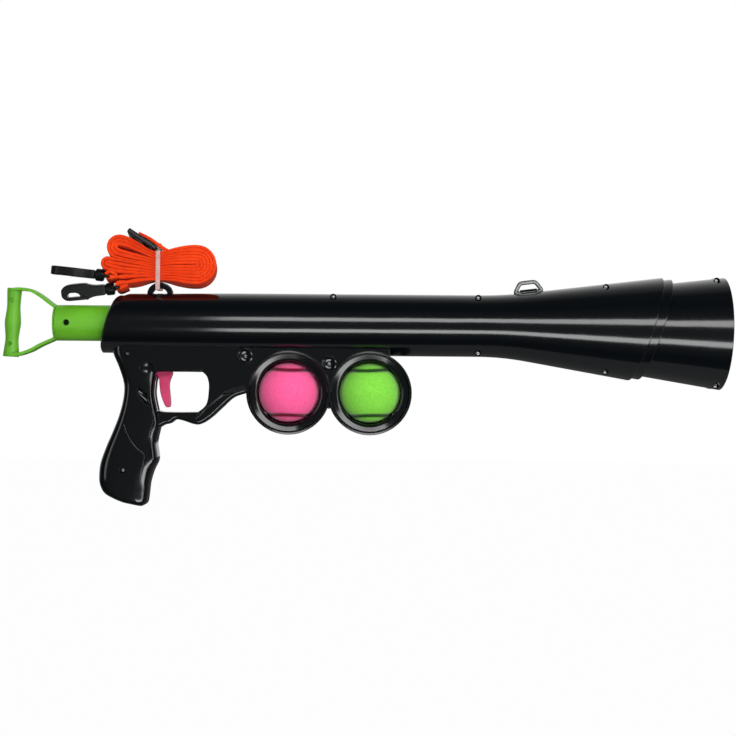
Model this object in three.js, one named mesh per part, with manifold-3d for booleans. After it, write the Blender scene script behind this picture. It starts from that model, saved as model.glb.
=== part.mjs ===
// Dog ball thrower: a spring-driven launcher for 63 mm balls with a pistol grip,
// a pull handle at the back, a flared muzzle and two spare-ball rings under the barrel.
// Millimetres, +Z up, +X toward the muzzle. The origin is the centre of the pistol grip.
import * as THREE from "three";
import { mergeVertices } from "three/addons/utils/BufferGeometryUtils.js";
import Module from "manifold-3d";

const wasm = await Module();
wasm.setup();

// Clearances and walls
const GAP = 0.3;
const SLIDING_GAP = 0.5;
const WALL = 2.8;
const OVERRUN = 6;
const FAR_AWAY = 900;
const BEHIND_BODY = 45;
const WELD = 0.0001;

// Ball
const BALL_RADIUS = 31.5;
const BALL_FIT = 0.4;

// Barrel, measured from the rear face along its axis
const BARREL_LENGTH = 405;
const BARREL_RADIUS = 31.6;
const REAR_TAPER = 1.2;
const BARREL_REAR_RADIUS = BARREL_RADIUS - REAR_TAPER;
const REAR_TAPER_LENGTH = 130;
const REAR_SLANT = THREE.MathUtils.degToRad(16);
const REAR_EDGE_RADIUS = 7;
const RIB_ROOM = 6.2;
const RIB_INNER_RADIUS = BARREL_REAR_RADIUS - RIB_ROOM;
const RIB_THICKNESS = 2.4;
const RIB_ELEVATION = THREE.MathUtils.degToRad(38);
const STOP_STEP = 2.7;
const PISTON_RADIUS = RIB_INNER_RADIUS - SLIDING_GAP;
const STOP_RADIUS = PISTON_RADIUS - STOP_STEP;
const STOP_LENGTH = 5;
const STOP_SETBACK = 2;

// Muzzle: a cone that droops a little from the barrel's axis
const MUZZLE_DROOP = THREE.MathUtils.degToRad(1.57);
const MUZZLE_SLOPE_SHARE = 0.1476;
const MUZZLE_LENGTH = 225.5;
const JOINT_AT = 146.8;
const JOINT_SLANT = THREE.MathUtils.degToRad(15.7);
const BAND_LENGTH = 9.5;
const BAND_WALL = 2.8;
const BAND_INSERT = 5;
const BELL_SLEEVE = 4;

// Housing, web and trigger guard under the barrel
const HOUSING_HALF = 20;
const HOUSING_REAR = 7;
const HOUSING_TOP = -22;
const HOUSING_FLOOR = -49.5;
const HOUSING_END = 290;
const HOUSING_END_DROP = 8.5;
const HOUSING_EDGE = 1.5;
const GUARD_HALF = 11;
const GUARD_EDGE = 2.6;
const GUARD_FLOOR = -90.6;
const GUARD_FRONT = 105.6;
const CREASE_WIDTH = 5;
const CREASE_DEPTH = 7;

// Pistol grip: outlines run down from the barrel's underside
const GRIP_TOP = -31;
const GRIP_LENGTH = 156;
const GRIP_BACK = -8;
const GRIP_WIDTH = 66;
const GRIP_HALF = 18.5;
const GRIP_CENTRE_X = 22;
const GRIP_CENTRE_Z = -115;

// Spare-ball rings
const RING_X = [186.4, 269.3];
const RING_Z = -69.6;
const RING_RADIUS = 42.8;
const RING_HALF = 22;
const RING_WAIST_HALF = 3;
const RING_MOUTH_RADIUS = 38.4;
const RING_BEAD = 2.4;
const RING_GROOVE = 1.4;

// Pull tube, handle and piston
const SPRING_INSET = 1.8;
const SPRING_ROOM = 3.5;
const SPRING_RADIUS = PISTON_RADIUS - SPRING_INSET;
const TUBE_RADIUS = SPRING_RADIUS - SPRING_ROOM;
const TUBE_WALL = 2.4;
const TUBE_REAR = -56;
const PISTON_LENGTH = 10;
const PISTON_STEM = 24;
const NOSE_RADIUS = STOP_RADIUS - SLIDING_GAP;
const NOSE_REACH = 1;
const PAD_EDGE = 0.7;
const BUMPER_LENGTH = 4.4;
const PAD_LENGTH = 5;
const PULL_STROKE = 150;
const HANDLE_BACK = -97.3;
const HANDLE_HEIGHT = 70.6;
const HANDLE_TILT = THREE.MathUtils.degToRad(2.7);
const HANDLE_BAR_RADIUS = 8.3;
const ARM_THICKNESS = 3.6;
const ARM_HALF = 9;
const COLLAR_LENGTH = 5;
const PLUG_LENGTH = 28;
const PLUG_WALL = 3.2;
const HANDLE_SCREW_X = -43.5;
const HANDLE_HOLE_RADIUS = 3.3;
const DIMPLE_RADIUS = 2;
const DIMPLE_DEPTH = 3;

// Bushes and main spring
const BUSH_LENGTH = 9;
const BUSH_X = 12;
const SEAT_X = 84;
const SEAT_LENGTH = 8;
const RETAINER = 3;
const SPRING_WIRE = 1.2;
const SPRING_TURNS = 16;

// Trigger and sear
const PIVOT_X = 43.5;
const PIVOT_Z = -46;
const PIVOT_PIN_RADIUS = 2;
const PIVOT_HUB_RADIUS = 5.5;
const PIVOT_PIN_HALF = 15;
const TRIGGER_HALF = 4.5;
const SLOT_HALF = 5.2;
const SEAR_X = 67.5;
const SEAR_LENGTH = 6.5;
const SEAR_LEDGE = 6;
const SEAR_HALF = 4;
const SEAR_LEDGE_Z = -31.5;
const SEAR_BOTTOM_Z = -38;
const SMALL_SPRING_RADIUS = 2.4;
const SMALL_SPRING_WIRE = 0.45;
const SMALL_SPRING_TURNS = 3;
const TRIGGER_SPRING_X = 27.7;
const TRIGGER_SPRING_Z = -56.5;
const TRIGGER_HEEL_X = 40;

// Screws: the heads sit in wells on the near side
const SCREW_FLOOR = 13;
const SCREW_HEAD_RADIUS = 2.5;
const SCREW_HEAD_HEIGHT = 1.8;
const SCREW_SHANK_RADIUS = 1.2;
const SCREW_LENGTH = 25;
const SCREW_BOSS_RADIUS = 3.9;
const SCREW_DISH_RADIUS = 6;
const SCREW_DISH_DEPTH = 2;
const SCREW_TOP_INSET = 3.5;
const SCREW_TOP_Z = BARREL_RADIUS - SCREW_TOP_INSET;
const MUZZLE_SCREW_S = 104;
const WEB_SCREW_AHEAD = 98.8;
const WEB_SCREW_RISE = 16.5;
const RING_SCREW_RISE = 9.3;
const BELL_SCREW_SETBACK = 8.8;
const BELL_SCREW_S = MUZZLE_LENGTH - BELL_SCREW_SETBACK;

// Sling loops
const LOOP_WIRE = 1.9;
const LOOP_AHEAD = 27;
const LOOP_X = BARREL_LENGTH + LOOP_AHEAD;
const LOOP_FOOT_HALF = 14.2;
const LOOP_TOP_HALF = 8;
const LOOP_HEIGHT = 10.1;
const LUG_RADIUS = 3.2;
const LUG_HALF = 8.6;
const LUG_RISE = 0.4;
const ARCH_X = 53;
const ARCH_HALF_WIDTH = 13.3;
const ARCH_HEIGHT = 11.3;
const ARCH_THICKNESS = 6.2;
const ARCH_DEPTH = 6;
const ARCH_FOOT = 1.8;

// Strap hank: flat webbing folded in twelve runs
const STRAP_HALF = 11;
const STRAP_THICKNESS = 1.6;
const HANK_RUNS = 12;
const WAIST_X = 51;
const WAIST_RISE = 26.4;
const WAIST_Z = BARREL_RADIUS + WAIST_RISE;
const UPPER_LOBE_RISE = 20;
const LOWER_LOBE_RISE = 0.8;
const WAIST_PITCH = 2.5;
const BULB_X = 90;
const BULB_PITCH = 3.9;
const LOBE_PITCH = 3.25;
const UPPER_LOBE = { x: 17.9, z: WAIST_Z + UPPER_LOBE_RISE, hole: 5.8, lean: THREE.MathUtils.degToRad(9.6) };
const LOWER_LOBE = { x: 0.5, z: WAIST_Z + LOWER_LOBE_RISE, hole: 2.03, lean: THREE.MathUtils.degToRad(14) };
const FINE_TURN_RADIUS = 4;
const EYE_WRAP_RADIUS = 2.7;
const EYE_TAIL = 8;
const EYE_TAIL_LEAN = 0.35;
const TIE_WALL = 1.1;
const TIE_WIDTH = 4.6;
const TIE_DROP = 0.9;
const TIE_TAB_RISE = 24.6;
const TIE_TAB_TOP = WAIST_Z + TIE_TAB_RISE;
const TIE_TAB_HALF = 3;
const TIE_X = 51.7;
const SLIDE_X = 34.6;
const SLIDE_RISE = 28;
const SLIDE_Z = WAIST_Z + SLIDE_RISE;
const SLIDE_LEAN = THREE.MathUtils.degToRad(32.7);
const SLIDE_LENGTH = 32;
const SLIDE_HALF = 15;
const SLIDE_THICKNESS = 3.6;
const SLIDE_BAR = 4.4;
const TAIL_ROUTE = [
  [32.5, 32.8], [36.4, 30.5], [41, 30.3], [46, 30.2],
  [50, 29], [54, 26.4], [57.5, 22.4], [61, 18.9], [65, 18.7],
].map(([x, rise]) => [x, WAIST_Z + rise]);

// Snap hooks at the two ends of the strap
const HOOK_THICKNESS = 9;
const HOOK_LENGTH = 46;
const HOOK_HALF_WIDTH = 8.6;
const HOOK_SHANK_HALF = 4.6;
const GATE_PIVOT_RADIUS = 2.1;
const KNOB_RADIUS = 6.4;
const KNOB_HALF_LENGTH = 4.4;
const STEM_RADIUS = 2.4;
const EYE_WIRE = 1.6;
const EYE_HALF = 13.6;
const EYE_REACH = 10.5;
const EYE_SHOULDER = 6;
const GATE_PIVOT_AT = 24;
const GATE_TIP_AT = 43.7;
const GATE_HALF = 3.2;
const GATE_THICKNESS = 3.6;
const NOSE_AT = 44;
const FLANGE_AT = 12.4;
const FLANGE_LENGTH = 3;
const FLANGE_RADIUS = 3.4;
const KNOB_EDGE = 1;
const HOOK_EDGE = 1;
const UPPER_HOOK_DROP = 8.5;
const LOWER_HOOK_DROP = 22.8;
const UPPER_HOOK = {
  x: -9.3,
  z: WAIST_Z - UPPER_HOOK_DROP,
  pitch: THREE.MathUtils.degToRad(5.8),
  roll: Math.PI / 2,
  eyeDrop: 2,
};
const LOWER_HOOK = {
  x: 1.5,
  z: WAIST_Z - LOWER_HOOK_DROP,
  pitch: THREE.MathUtils.degToRad(-5.8),
  roll: 0.21,
  eyeDrop: -1.3,
};

// Materials
const BLACK = { color: 0x14171a, roughness: 0.25, metalness: 0 };
const GREEN = { color: 0x6fbe2c, roughness: 0.42, metalness: 0 };
const PINK = { color: 0xdc3c78, roughness: 0.45, metalness: 0 };
const PINK_FELT = { color: 0xff5a96, roughness: 0.95, metalness: 0 };
const GREEN_FELT = { color: 0x7dd241, roughness: 0.95, metalness: 0 };
const ORANGE_WEB = { color: 0xf54119, roughness: 0.85, metalness: 0 };
const CLEAR_TIE = { color: 0xf3c4c0, roughness: 0.5, metalness: 0 };
const STEEL = { color: 0x8e9294, roughness: 0.35, metalness: 0.9 };
const RUBBER = { color: 0x202020, roughness: 0.9, metalness: 0 };
const HOOK_BLACK = { color: 0x1b1d20, roughness: 0.4, metalness: 0 };

// Shape helpers
function solidOf(geometry) {
  const bare = geometry.clone();
  bare.deleteAttribute("normal");
  bare.deleteAttribute("uv");
  const merged = mergeVertices(bare, WELD);
  const index = merged.getIndex().array;
  const kept = [];
  for (let i = 0; i < index.length; i += 3) {
    const corners = [index[i], index[i + 1], index[i + 2]];
    if (new Set(corners).size === 3) {
      kept.push(...corners);
    }
  }
  const vertProperties = Float32Array.from(merged.getAttribute("position").array);
  return new wasm.Manifold(
    new wasm.Mesh({ numProp: 3, vertProperties, triVerts: Uint32Array.from(kept) }),
  );
}

function geometryOf(solid) {
  const mesh = solid.getMesh();
  const geometry = new THREE.BufferGeometry();
  geometry.setAttribute("position", new THREE.BufferAttribute(mesh.vertProperties, 3));
  geometry.setIndex(new THREE.BufferAttribute(mesh.triVerts, 1));
  geometry.computeVertexNormals();
  return geometry;
}

function unite(...solids) {
  return solids.reduce((sum, next) => sum.add(next));
}

function cutAway(solid, ...cutters) {
  return cutters.reduce((left, cutter) => left.subtract(cutter), solid);
}

function moved(geometry, x, y, z) {
  return geometry.translate(x, y, z);
}

function block(xLow, xHigh, yLow, yHigh, zLow, zHigh) {
  const geometry = new THREE.BoxGeometry(xHigh - xLow, yHigh - yLow, zHigh - zLow);
  return solidOf(moved(geometry, (xLow + xHigh) / 2, (yLow + yHigh) / 2, (zLow + zHigh) / 2));
}

// A closed profile of [radius, place] points turned about the Y axis
function lathe(profile, sides) {
  const points = profile.map(([radius, place]) => new THREE.Vector2(radius, place));
  return new THREE.LatheGeometry(points, sides);
}

function latheAlongX(profile, sides) {
  return lathe(profile, sides).rotateZ(-Math.PI / 2);
}

function pinAlongY(radius, yLow, yHigh, x, z, sides = 16) {
  const profile = [[0, yLow], [radius, yLow], [radius, yHigh], [0, yHigh]];
  return solidOf(moved(lathe(profile, sides), x, 0, z));
}

// An outline in X and Z given a depth along Y, with its edge drawn in by a bevel
function plate(shape, half, edge = 0, inset = 0, curveSegments = 6, rounds = 1) {
  const depth = 2 * (half - edge);
  const geometry = new THREE.ExtrudeGeometry(shape, {
    depth,
    curveSegments,
    bevelEnabled: edge > 0,
    bevelSize: edge,
    bevelThickness: edge,
    bevelOffset: -edge - inset,
    bevelSegments: rounds,
  });
  return geometry.translate(0, 0, -depth / 2).rotateX(Math.PI / 2);
}

function outline(points) {
  return new THREE.Shape(points.map(([x, z]) => new THREE.Vector2(x, z)));
}

function vectors(points) {
  return points.map(([x, z]) => new THREE.Vector2(x, z));
}

// Everything in front of a plane that leans about Y, as a cutter
function beyond(x, z, lean) {
  const geometry = new THREE.BoxGeometry(FAR_AWAY, FAR_AWAY, FAR_AWAY);
  geometry.translate(FAR_AWAY / 2, 0, 0).rotateY(lean).translate(x, 0, z);
  return solidOf(geometry);
}

function behind(x, z, lean) {
  const geometry = new THREE.BoxGeometry(FAR_AWAY, FAR_AWAY, FAR_AWAY);
  geometry.translate(-FAR_AWAY / 2, 0, 0).rotateY(lean).translate(x, 0, z);
  return solidOf(geometry);
}

// A round wire along points, closed into a ring or with flat ends
function wire(points, radius, sides, closed = false) {
  const count = points.length;
  const positions = [];
  const index = [];
  let side = null;
  for (let i = 0; i < count; i += 1) {
    const before = closed ? points[(i + count - 1) % count] : points[Math.max(i - 1, 0)];
    const after = closed ? points[(i + 1) % count] : points[Math.min(i + 1, count - 1)];
    const along = after.clone().sub(before).normalize();
    if (side === null) {
      const level = Math.abs(along.y) < Math.SQRT1_2;
      const guide = level ? new THREE.Vector3(0, 1, 0) : new THREE.Vector3(0, 0, 1);
      side = guide.cross(along);
    }
    side = side.clone().addScaledVector(along, -side.dot(along)).normalize();
    const up = along.clone().cross(side);
    for (let k = 0; k < sides; k += 1) {
      const angle = (2 * Math.PI * k) / sides;
      const corner = points[i].clone().addScaledVector(side, radius * Math.cos(angle));
      positions.push(...corner.addScaledVector(up, radius * Math.sin(angle)).toArray());
    }
  }
  const rings = closed ? count : count - 1;
  for (let i = 0; i < rings; i += 1) {
    const next = (i + 1) % count;
    for (let k = 0; k < sides; k += 1) {
      const turn = (k + 1) % sides;
      const corners = [i * sides + k, i * sides + turn, next * sides + turn, next * sides + k];
      index.push(corners[0], corners[1], corners[2], corners[0], corners[2], corners[3]);
    }
  }
  if (!closed) {
    const last = (count - 1) * sides;
    for (let k = 1; k < sides - 1; k += 1) {
      index.push(0, k + 1, k, last, last + k, last + k + 1);
    }
  }
  const geometry = new THREE.BufferGeometry();
  geometry.setAttribute("position", new THREE.Float32BufferAttribute(positions, 3));
  geometry.setIndex(index);
  geometry.computeVertexNormals();
  return geometry;
}

// A compression spring along X from xLow to xHigh
function coil(xLow, xHigh, radius, wireRadius, turns, stepsPerTurn, sides) {
  const points = [];
  const steps = turns * stepsPerTurn;
  const length = xHigh - xLow - 2 * wireRadius;
  for (let i = 0; i <= steps; i += 1) {
    const angle = (2 * Math.PI * i) / stepsPerTurn;
    const x = xLow + wireRadius + (length * i) / steps;
    points.push(new THREE.Vector3(x, radius * Math.cos(angle), radius * Math.sin(angle)));
  }
  return wire(points, wireRadius, sides);
}

// A flat webbing strip along [x, z] points, as wide as the strap along Y
function ribbon(points, half, thickness) {
  const positions = [];
  const index = [];
  const count = points.length;
  points.forEach((point, i) => {
    const before = points[Math.max(i - 1, 0)];
    const after = points[Math.min(i + 1, count - 1)];
    const along = after.clone().sub(before).normalize();
    const across = new THREE.Vector2(-along.y, along.x).multiplyScalar(thickness / 2);
    positions.push(point.x + across.x, -half, point.y + across.y);
    positions.push(point.x + across.x, half, point.y + across.y);
    positions.push(point.x - across.x, half, point.y - across.y);
    positions.push(point.x - across.x, -half, point.y - across.y);
  });
  for (let i = 0; i < count - 1; i += 1) {
    for (let k = 0; k < 4; k += 1) {
      const turn = (k + 1) % 4;
      const corners = [i * 4 + k, i * 4 + 4 + k, i * 4 + 4 + turn, i * 4 + turn];
      index.push(corners[0], corners[1], corners[2], corners[0], corners[2], corners[3]);
    }
  }
  const last = (count - 1) * 4;
  index.push(0, 1, 2, 0, 2, 3, last, last + 2, last + 1, last, last + 3, last + 2);
  const geometry = new THREE.BufferGeometry();
  geometry.setAttribute("position", new THREE.Float32BufferAttribute(positions, 3));
  geometry.setIndex(index);
  geometry.computeVertexNormals();
  return geometry;
}

// Scene graph: one mesh for each piece
const thrower = new THREE.Group();
thrower.position.set(-GRIP_CENTRE_X, 0, -GRIP_CENTRE_Z);

function piece(name, geometry, finish, parent = thrower) {
  const mesh = new THREE.Mesh(geometry, new THREE.MeshStandardMaterial(finish));
  mesh.name = name;
  parent.add(mesh);
  return mesh;
}

// Muzzle frame
const muzzleMatrix = new THREE.Matrix4()
  .makeTranslation(BARREL_LENGTH, 0, 0)
  .multiply(new THREE.Matrix4().makeRotationY(MUZZLE_DROOP));

function coneRadius(s) {
  return BARREL_RADIUS + MUZZLE_SLOPE_SHARE * s;
}

function cone(sLow, sHigh, shrink) {
  const profile = [
    [0, sLow],
    [coneRadius(sLow) - shrink, sLow],
    [coneRadius(sHigh) - shrink, sHigh],
    [0, sHigh],
  ];
  return solidOf(latheAlongX(profile, 28));
}

function muzzleZ(x) {
  return -(x - BARREL_LENGTH) * Math.tan(MUZZLE_DROOP);
}

function inMuzzle(solid) {
  return solidOf(geometryOf(solid).applyMatrix4(muzzleMatrix));
}

// Outlines of the moulded body under the barrel
function gripPoint([across, down]) {
  return [GRIP_BACK + across * GRIP_WIDTH, GRIP_TOP - down * GRIP_LENGTH];
}

// Each row: back edge across and down, front edge across and down, and half depth
const GRIP_STATION_SHARES = [
  [0.212, -0.058, 0.924, -0.058, 1],
  [0.22, 0, 0.924, 0.013, 1],
  [0.31, 0.09, 0.924, 0.096, 0.97],
  [0.386, 0.195, 0.882, 0.186, 0.92],
  [0.379, 0.295, 0.867, 0.263, 0.9],
  [0.311, 0.41, 0.902, 0.346, 0.92],
  [0.205, 0.526, 0.955, 0.45, 0.96],
  [0.12, 0.61, 0.9, 0.58, 1],
  [0.03, 0.72, 0.925, 0.69, 1],
  [0.012, 0.808, 0.848, 0.769, 0.98],
  [0.03, 0.865, 0.795, 0.846, 0.94],
  [0.098, 0.917, 0.773, 0.923, 0.9],
  [0.242, 0.952, 0.75, 0.981, 0.84],
  [0.36, 0.972, 0.69, 1, 0.6],
];
const GRIP_SQUARENESS_SHARE = 0.72;

// A loft of closed rings that all have the same number of points
function loft(rings) {
  const sides = rings[0].length;
  const positions = rings.flat().flatMap((point) => point.toArray());
  const index = [];
  for (let i = 0; i < rings.length - 1; i += 1) {
    for (let k = 0; k < sides; k += 1) {
      const turn = (k + 1) % sides;
      const corners = [i * sides + k, i * sides + turn, (i + 1) * sides + turn, (i + 1) * sides + k];
      index.push(corners[0], corners[1], corners[2], corners[0], corners[2], corners[3]);
    }
  }
  const last = (rings.length - 1) * sides;
  for (let k = 1; k < sides - 1; k += 1) {
    index.push(0, k + 1, k, last, last + k, last + k + 1);
  }
  const geometry = new THREE.BufferGeometry();
  geometry.setAttribute("position", new THREE.Float32BufferAttribute(positions, 3));
  geometry.setIndex(index);
  return geometry;
}

// The grip's oval sections run from its back edge to its front edge
function gripSolid(inset, sides) {
  const stations = inset > 0 ? GRIP_STATION_SHARES.slice(0, -2) : GRIP_STATION_SHARES;
  const lines = [0, 2].map((column) => new THREE.CatmullRomCurve3(
    stations.map((row) => {
      const [x, z] = gripPoint([row[column], row[column + 1]]);
      return new THREE.Vector3(x, row[4] * GRIP_HALF, z);
    }),
  ));
  const steps = stations.length - 1;
  const rings = [];
  for (let i = 0; i <= steps; i += 1) {
    const back = lines[0].getPoint(i / steps);
    const front = lines[1].getPoint(i / steps);
    const half = back.y - inset;
    back.y = 0;
    front.y = 0;
    const reach = front.clone().sub(back).multiplyScalar(1 / 2);
    const middle = back.clone().add(reach);
    reach.setLength(reach.length() - inset);
    const ring = [];
    for (let k = 0; k < sides; k += 1) {
      const angle = (2 * Math.PI * k) / sides;
      const along = Math.sign(Math.cos(angle)) * Math.abs(Math.cos(angle)) ** GRIP_SQUARENESS_SHARE;
      const deep = Math.sign(Math.sin(angle)) * Math.abs(Math.sin(angle)) ** GRIP_SQUARENESS_SHARE;
      ring.push(middle.clone().addScaledVector(reach, along).setY(-half * deep));
    }
    rings.push(ring);
  }
  return solidOf(loft(rings));
}

// Places along the guard, as shares of its reach ahead of the grip and of its height
const GUARD_REAR = 50;
const GUARD_REACH = 95.6;
const GUARD_HEIGHT = 41.1;
const GUARD_DROP = 17.8;

function guardPoint([ahead, down]) {
  return [GUARD_REAR + ahead * GUARD_REACH, HOUSING_FLOOR - down * GUARD_HEIGHT];
}

const GUARD_LOWER_SHARES = [
  [0.04, 1.4], [0.1, 1.32], [0.16, 1.285], [0.222, 1.19], [0.3, 1.215], [0.415, 1.3], [0.49, 1.295],
  [0.595, 1.14], [0.713, 0.886], [0.835, 0.633], [0.98, 0.516],
];
const CREASE_SHARES = [
  [0.997, 0.321], [0.89, 0.365], [0.775, 0.465], [0.655, 0.69], [0.533, 0.945], [0.45, 1.06],
];

const WEB_SPACE_SHARES = [
  [0.6, -0.05], [0.98, -0.05], [0.98, 0.23], [0.86, 0.27], [0.74, 0.38], [0.64, 0.58], [0.6, 0.62],
];

function guardOutline() {
  const shape = new THREE.Shape();
  shape.moveTo(GUARD_REAR - OVERRUN, GUARD_FLOOR);
  shape.lineTo(GUARD_REAR - OVERRUN, GUARD_FLOOR - GUARD_DROP);
  const lower = vectors(GUARD_LOWER_SHARES.map(guardPoint));
  shape.lineTo(lower[0].x, lower[0].y);
  shape.splineThru(lower.slice(1));
  shape.lineTo(RING_X[0], RING_Z);
  shape.lineTo(RING_X[0], HOUSING_FLOOR);
  shape.lineTo(GUARD_FRONT, HOUSING_FLOOR);
  shape.lineTo(GUARD_FRONT - OVERRUN, GUARD_FLOOR + OVERRUN);
  return shape;
}

function webOutline() {
  const shape = new THREE.Shape();
  const crease = vectors(CREASE_SHARES.map(guardPoint));
  shape.moveTo(RING_X[0], HOUSING_FLOOR + OVERRUN);
  shape.lineTo(RING_X[0], crease[0].y);
  shape.lineTo(crease[0].x, crease[0].y);
  shape.splineThru(crease.slice(1));
  shape.lineTo(GUARD_FRONT - OVERRUN, GUARD_FLOOR + OVERRUN);
  shape.lineTo(GUARD_FRONT - OVERRUN, HOUSING_FLOOR + OVERRUN);
  return shape;
}

const OPENING_FRONT_SHARES = [[0.54, 0.05], [0.575, 0.2], [0.583, 0.42], [0.56, 0.78], [0.48, 0.97]];
const OPENING_REAR_SHARES = [[0.04, 0.93], [0, 0.6], [-0.005, 0.35], [0.01, 0.15], [0.04, 0.02]];

function guardOpening() {
  const shape = new THREE.Shape();
  const front = vectors(OPENING_FRONT_SHARES.map(guardPoint));
  const rear = vectors(OPENING_REAR_SHARES.map(guardPoint));
  shape.moveTo(rear.at(-1).x, HOUSING_FLOOR);
  shape.lineTo(front[0].x - OVERRUN, HOUSING_FLOOR);
  shape.splineThru(front);
  shape.lineTo(front.at(-1).x - OVERRUN, GUARD_FLOOR);
  shape.lineTo(rear[0].x + OVERRUN, GUARD_FLOOR);
  shape.splineThru(rear);
  return shape;
}

function housingOutline() {
  return outline([
    [HOUSING_REAR, HOUSING_TOP],
    [HOUSING_REAR + WALL, GRIP_TOP],
    [PIVOT_X - HOUSING_HALF, HOUSING_FLOOR],
    [GUARD_FRONT, HOUSING_FLOOR],
    [RING_X[0], RING_Z],
    [RING_X[1], RING_Z],
    [HOUSING_END, HOUSING_TOP - HOUSING_END_DROP],
    [HOUSING_END, HOUSING_TOP],
  ]);
}

// The ring that holds a spare ball, turned about Y
function ringSolid(x) {
  const waist = BALL_RADIUS + BALL_FIT;
  const bead = RING_RADIUS - RING_BEAD;
  const face = RING_HALF - RING_BEAD;
  const half = [
    [waist, RING_WAIST_HALF],
    [RING_MOUTH_RADIUS, face],
    [bead - RING_GROOVE / 2, face - RING_GROOVE],
    [bead, RING_HALF - RING_BEAD / 4],
    [RING_RADIUS, RING_HALF - RING_BEAD / 2],
  ];
  const nearSide = half.map(([radius, y]) => [radius, -y]);
  const profile = [...nearSide, ...half.reverse(), nearSide[0]];
  return solidOf(moved(lathe(profile, 28), x, 0, RING_Z));
}

// The space inside a ring: a waist that the ball fits and a mouth that widens on both sides
function ringSpace(x) {
  const waist = BALL_RADIUS + BALL_FIT;
  const face = RING_HALF - RING_BEAD;
  const half = [[waist, RING_WAIST_HALF], [RING_MOUTH_RADIUS, face], [RING_MOUTH_RADIUS, RING_HALF + GAP]];
  const nearSide = half.map(([radius, y]) => [radius, -y]).reverse();
  const profile = [[0, -RING_HALF - GAP], ...nearSide, ...half, [0, RING_HALF + GAP]];
  return solidOf(moved(lathe(profile, 28), x, 0, RING_Z));
}

// Barrel, funnel and the moulded body under them, before they are hollowed
function barrelSolid() {
  const profile = [
    [0, -2 * WALL * OVERRUN],
    [BARREL_REAR_RADIUS, -2 * WALL * OVERRUN],
    [BARREL_REAR_RADIUS, 0],
    [BARREL_RADIUS, REAR_TAPER_LENGTH],
    [BARREL_RADIUS, BARREL_LENGTH + GAP],
    [0, BARREL_LENGTH + GAP],
  ];
  return solidOf(latheAlongX(profile, 28)).intersect(rearCap());
}

// A wide rounded plug that gives the slanted rear face its soft edge
function rearCap() {
  const rim = BARREL_REAR_RADIUS / Math.cos(REAR_SLANT);
  const edge = REAR_EDGE_RADIUS;
  const profile = [[0, 0]];
  const steps = 3;
  for (let i = 0; i <= steps; i += 1) {
    const angle = (Math.PI * i) / (2 * steps);
    profile.push([rim - edge + edge * Math.sin(angle), edge - edge * Math.cos(angle)]);
  }
  const spread = Math.tan(2 * REAR_SLANT) * FAR_AWAY;
  profile.push([rim + spread, edge + FAR_AWAY], [0, edge + FAR_AWAY]);
  return solidOf(latheAlongX(profile, 28).rotateY(REAR_SLANT));
}

function funnelSolid() {
  const root = [
    [0, -OVERRUN],
    [BARREL_RADIUS - GAP, -OVERRUN],
    [coneRadius(0), 0],
    [coneRadius(JOINT_AT + RING_RADIUS), JOINT_AT + RING_RADIUS],
    [0, JOINT_AT + RING_RADIUS],
  ];
  const funnel = solidOf(latheAlongX(root, 28));
  return inMuzzle(funnel.subtract(beyond(JOINT_AT, 0, JOINT_SLANT)));
}

const BODY_SCREWS = [
  [GRIP_CENTRE_X, GRIP_TOP - GAP],
  [GRIP_CENTRE_X - SCREW_BOSS_RADIUS, GRIP_TOP - 0.763 * GRIP_LENGTH],
  [PIVOT_X + WEB_SCREW_AHEAD, HOUSING_FLOOR + WEB_SCREW_RISE],
  [(RING_X[0] + RING_X[1]) / 2, HOUSING_FLOOR + RING_SCREW_RISE],
  [BARREL_LENGTH * 0.571, SCREW_TOP_Z],
  [BARREL_LENGTH * 0.936, SCREW_TOP_Z],
  [BARREL_LENGTH * 0.936, -SCREW_TOP_Z],
];

function muzzleScrewPlaces(s, shrink) {
  const reach = coneRadius(s) - shrink - SCREW_BOSS_RADIUS;
  const x = BARREL_LENGTH + s;
  return [[x, muzzleZ(x) + reach], [x, muzzleZ(x) - reach]];
}

const FUNNEL_SCREWS = muzzleScrewPlaces(MUZZLE_SCREW_S, 0);
const BELL_SHRINK = 2 * (WALL + GAP);
const BELL_SCREWS = muzzleScrewPlaces(BELL_SCREW_S, BELL_SHRINK);

function screwBoss([x, z]) {
  const half = GRIP_HALF - WALL / 2;
  return pinAlongY(SCREW_BOSS_RADIUS, -half, half, x, z, 10);
}

function screwHole([x, z]) {
  const mouth = HOUSING_HALF + OVERRUN;
  const well = pinAlongY(SCREW_HEAD_RADIUS + GAP, -mouth, -SCREW_FLOOR, x, z, 10);
  const shank = pinAlongY(SCREW_SHANK_RADIUS + GAP, -SCREW_FLOOR - GAP, SCREW_FLOOR, x, z, 6);
  return well.add(shank);
}

function screwDish([x, z]) {
  const floor = HOUSING_HALF - SCREW_DISH_DEPTH;
  const profile = [
    [0, -HOUSING_HALF - OVERRUN],
    [SCREW_DISH_RADIUS, -HOUSING_HALF - OVERRUN],
    [SCREW_DISH_RADIUS, -HOUSING_HALF],
    [SCREW_HEAD_RADIUS, -floor],
    [0, -floor],
  ];
  return solidOf(moved(lathe(profile, 12), x, 0, z));
}

// Loop lug on the funnel's top line
const LOOP_SLOPE = Math.atan(MUZZLE_SLOPE_SHARE) - MUZZLE_DROOP;
const LOOP_Z = coneRadius(LOOP_X - BARREL_LENGTH) + muzzleZ(LOOP_X) + LUG_RISE;

function alongLoop(radius, low, high, sides) {
  const profile = [[0, low], [radius, low], [radius, high], [0, high]];
  const geometry = latheAlongX(profile, sides).rotateY(-LOOP_SLOPE);
  return solidOf(moved(geometry, LOOP_X, 0, LOOP_Z));
}

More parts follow.
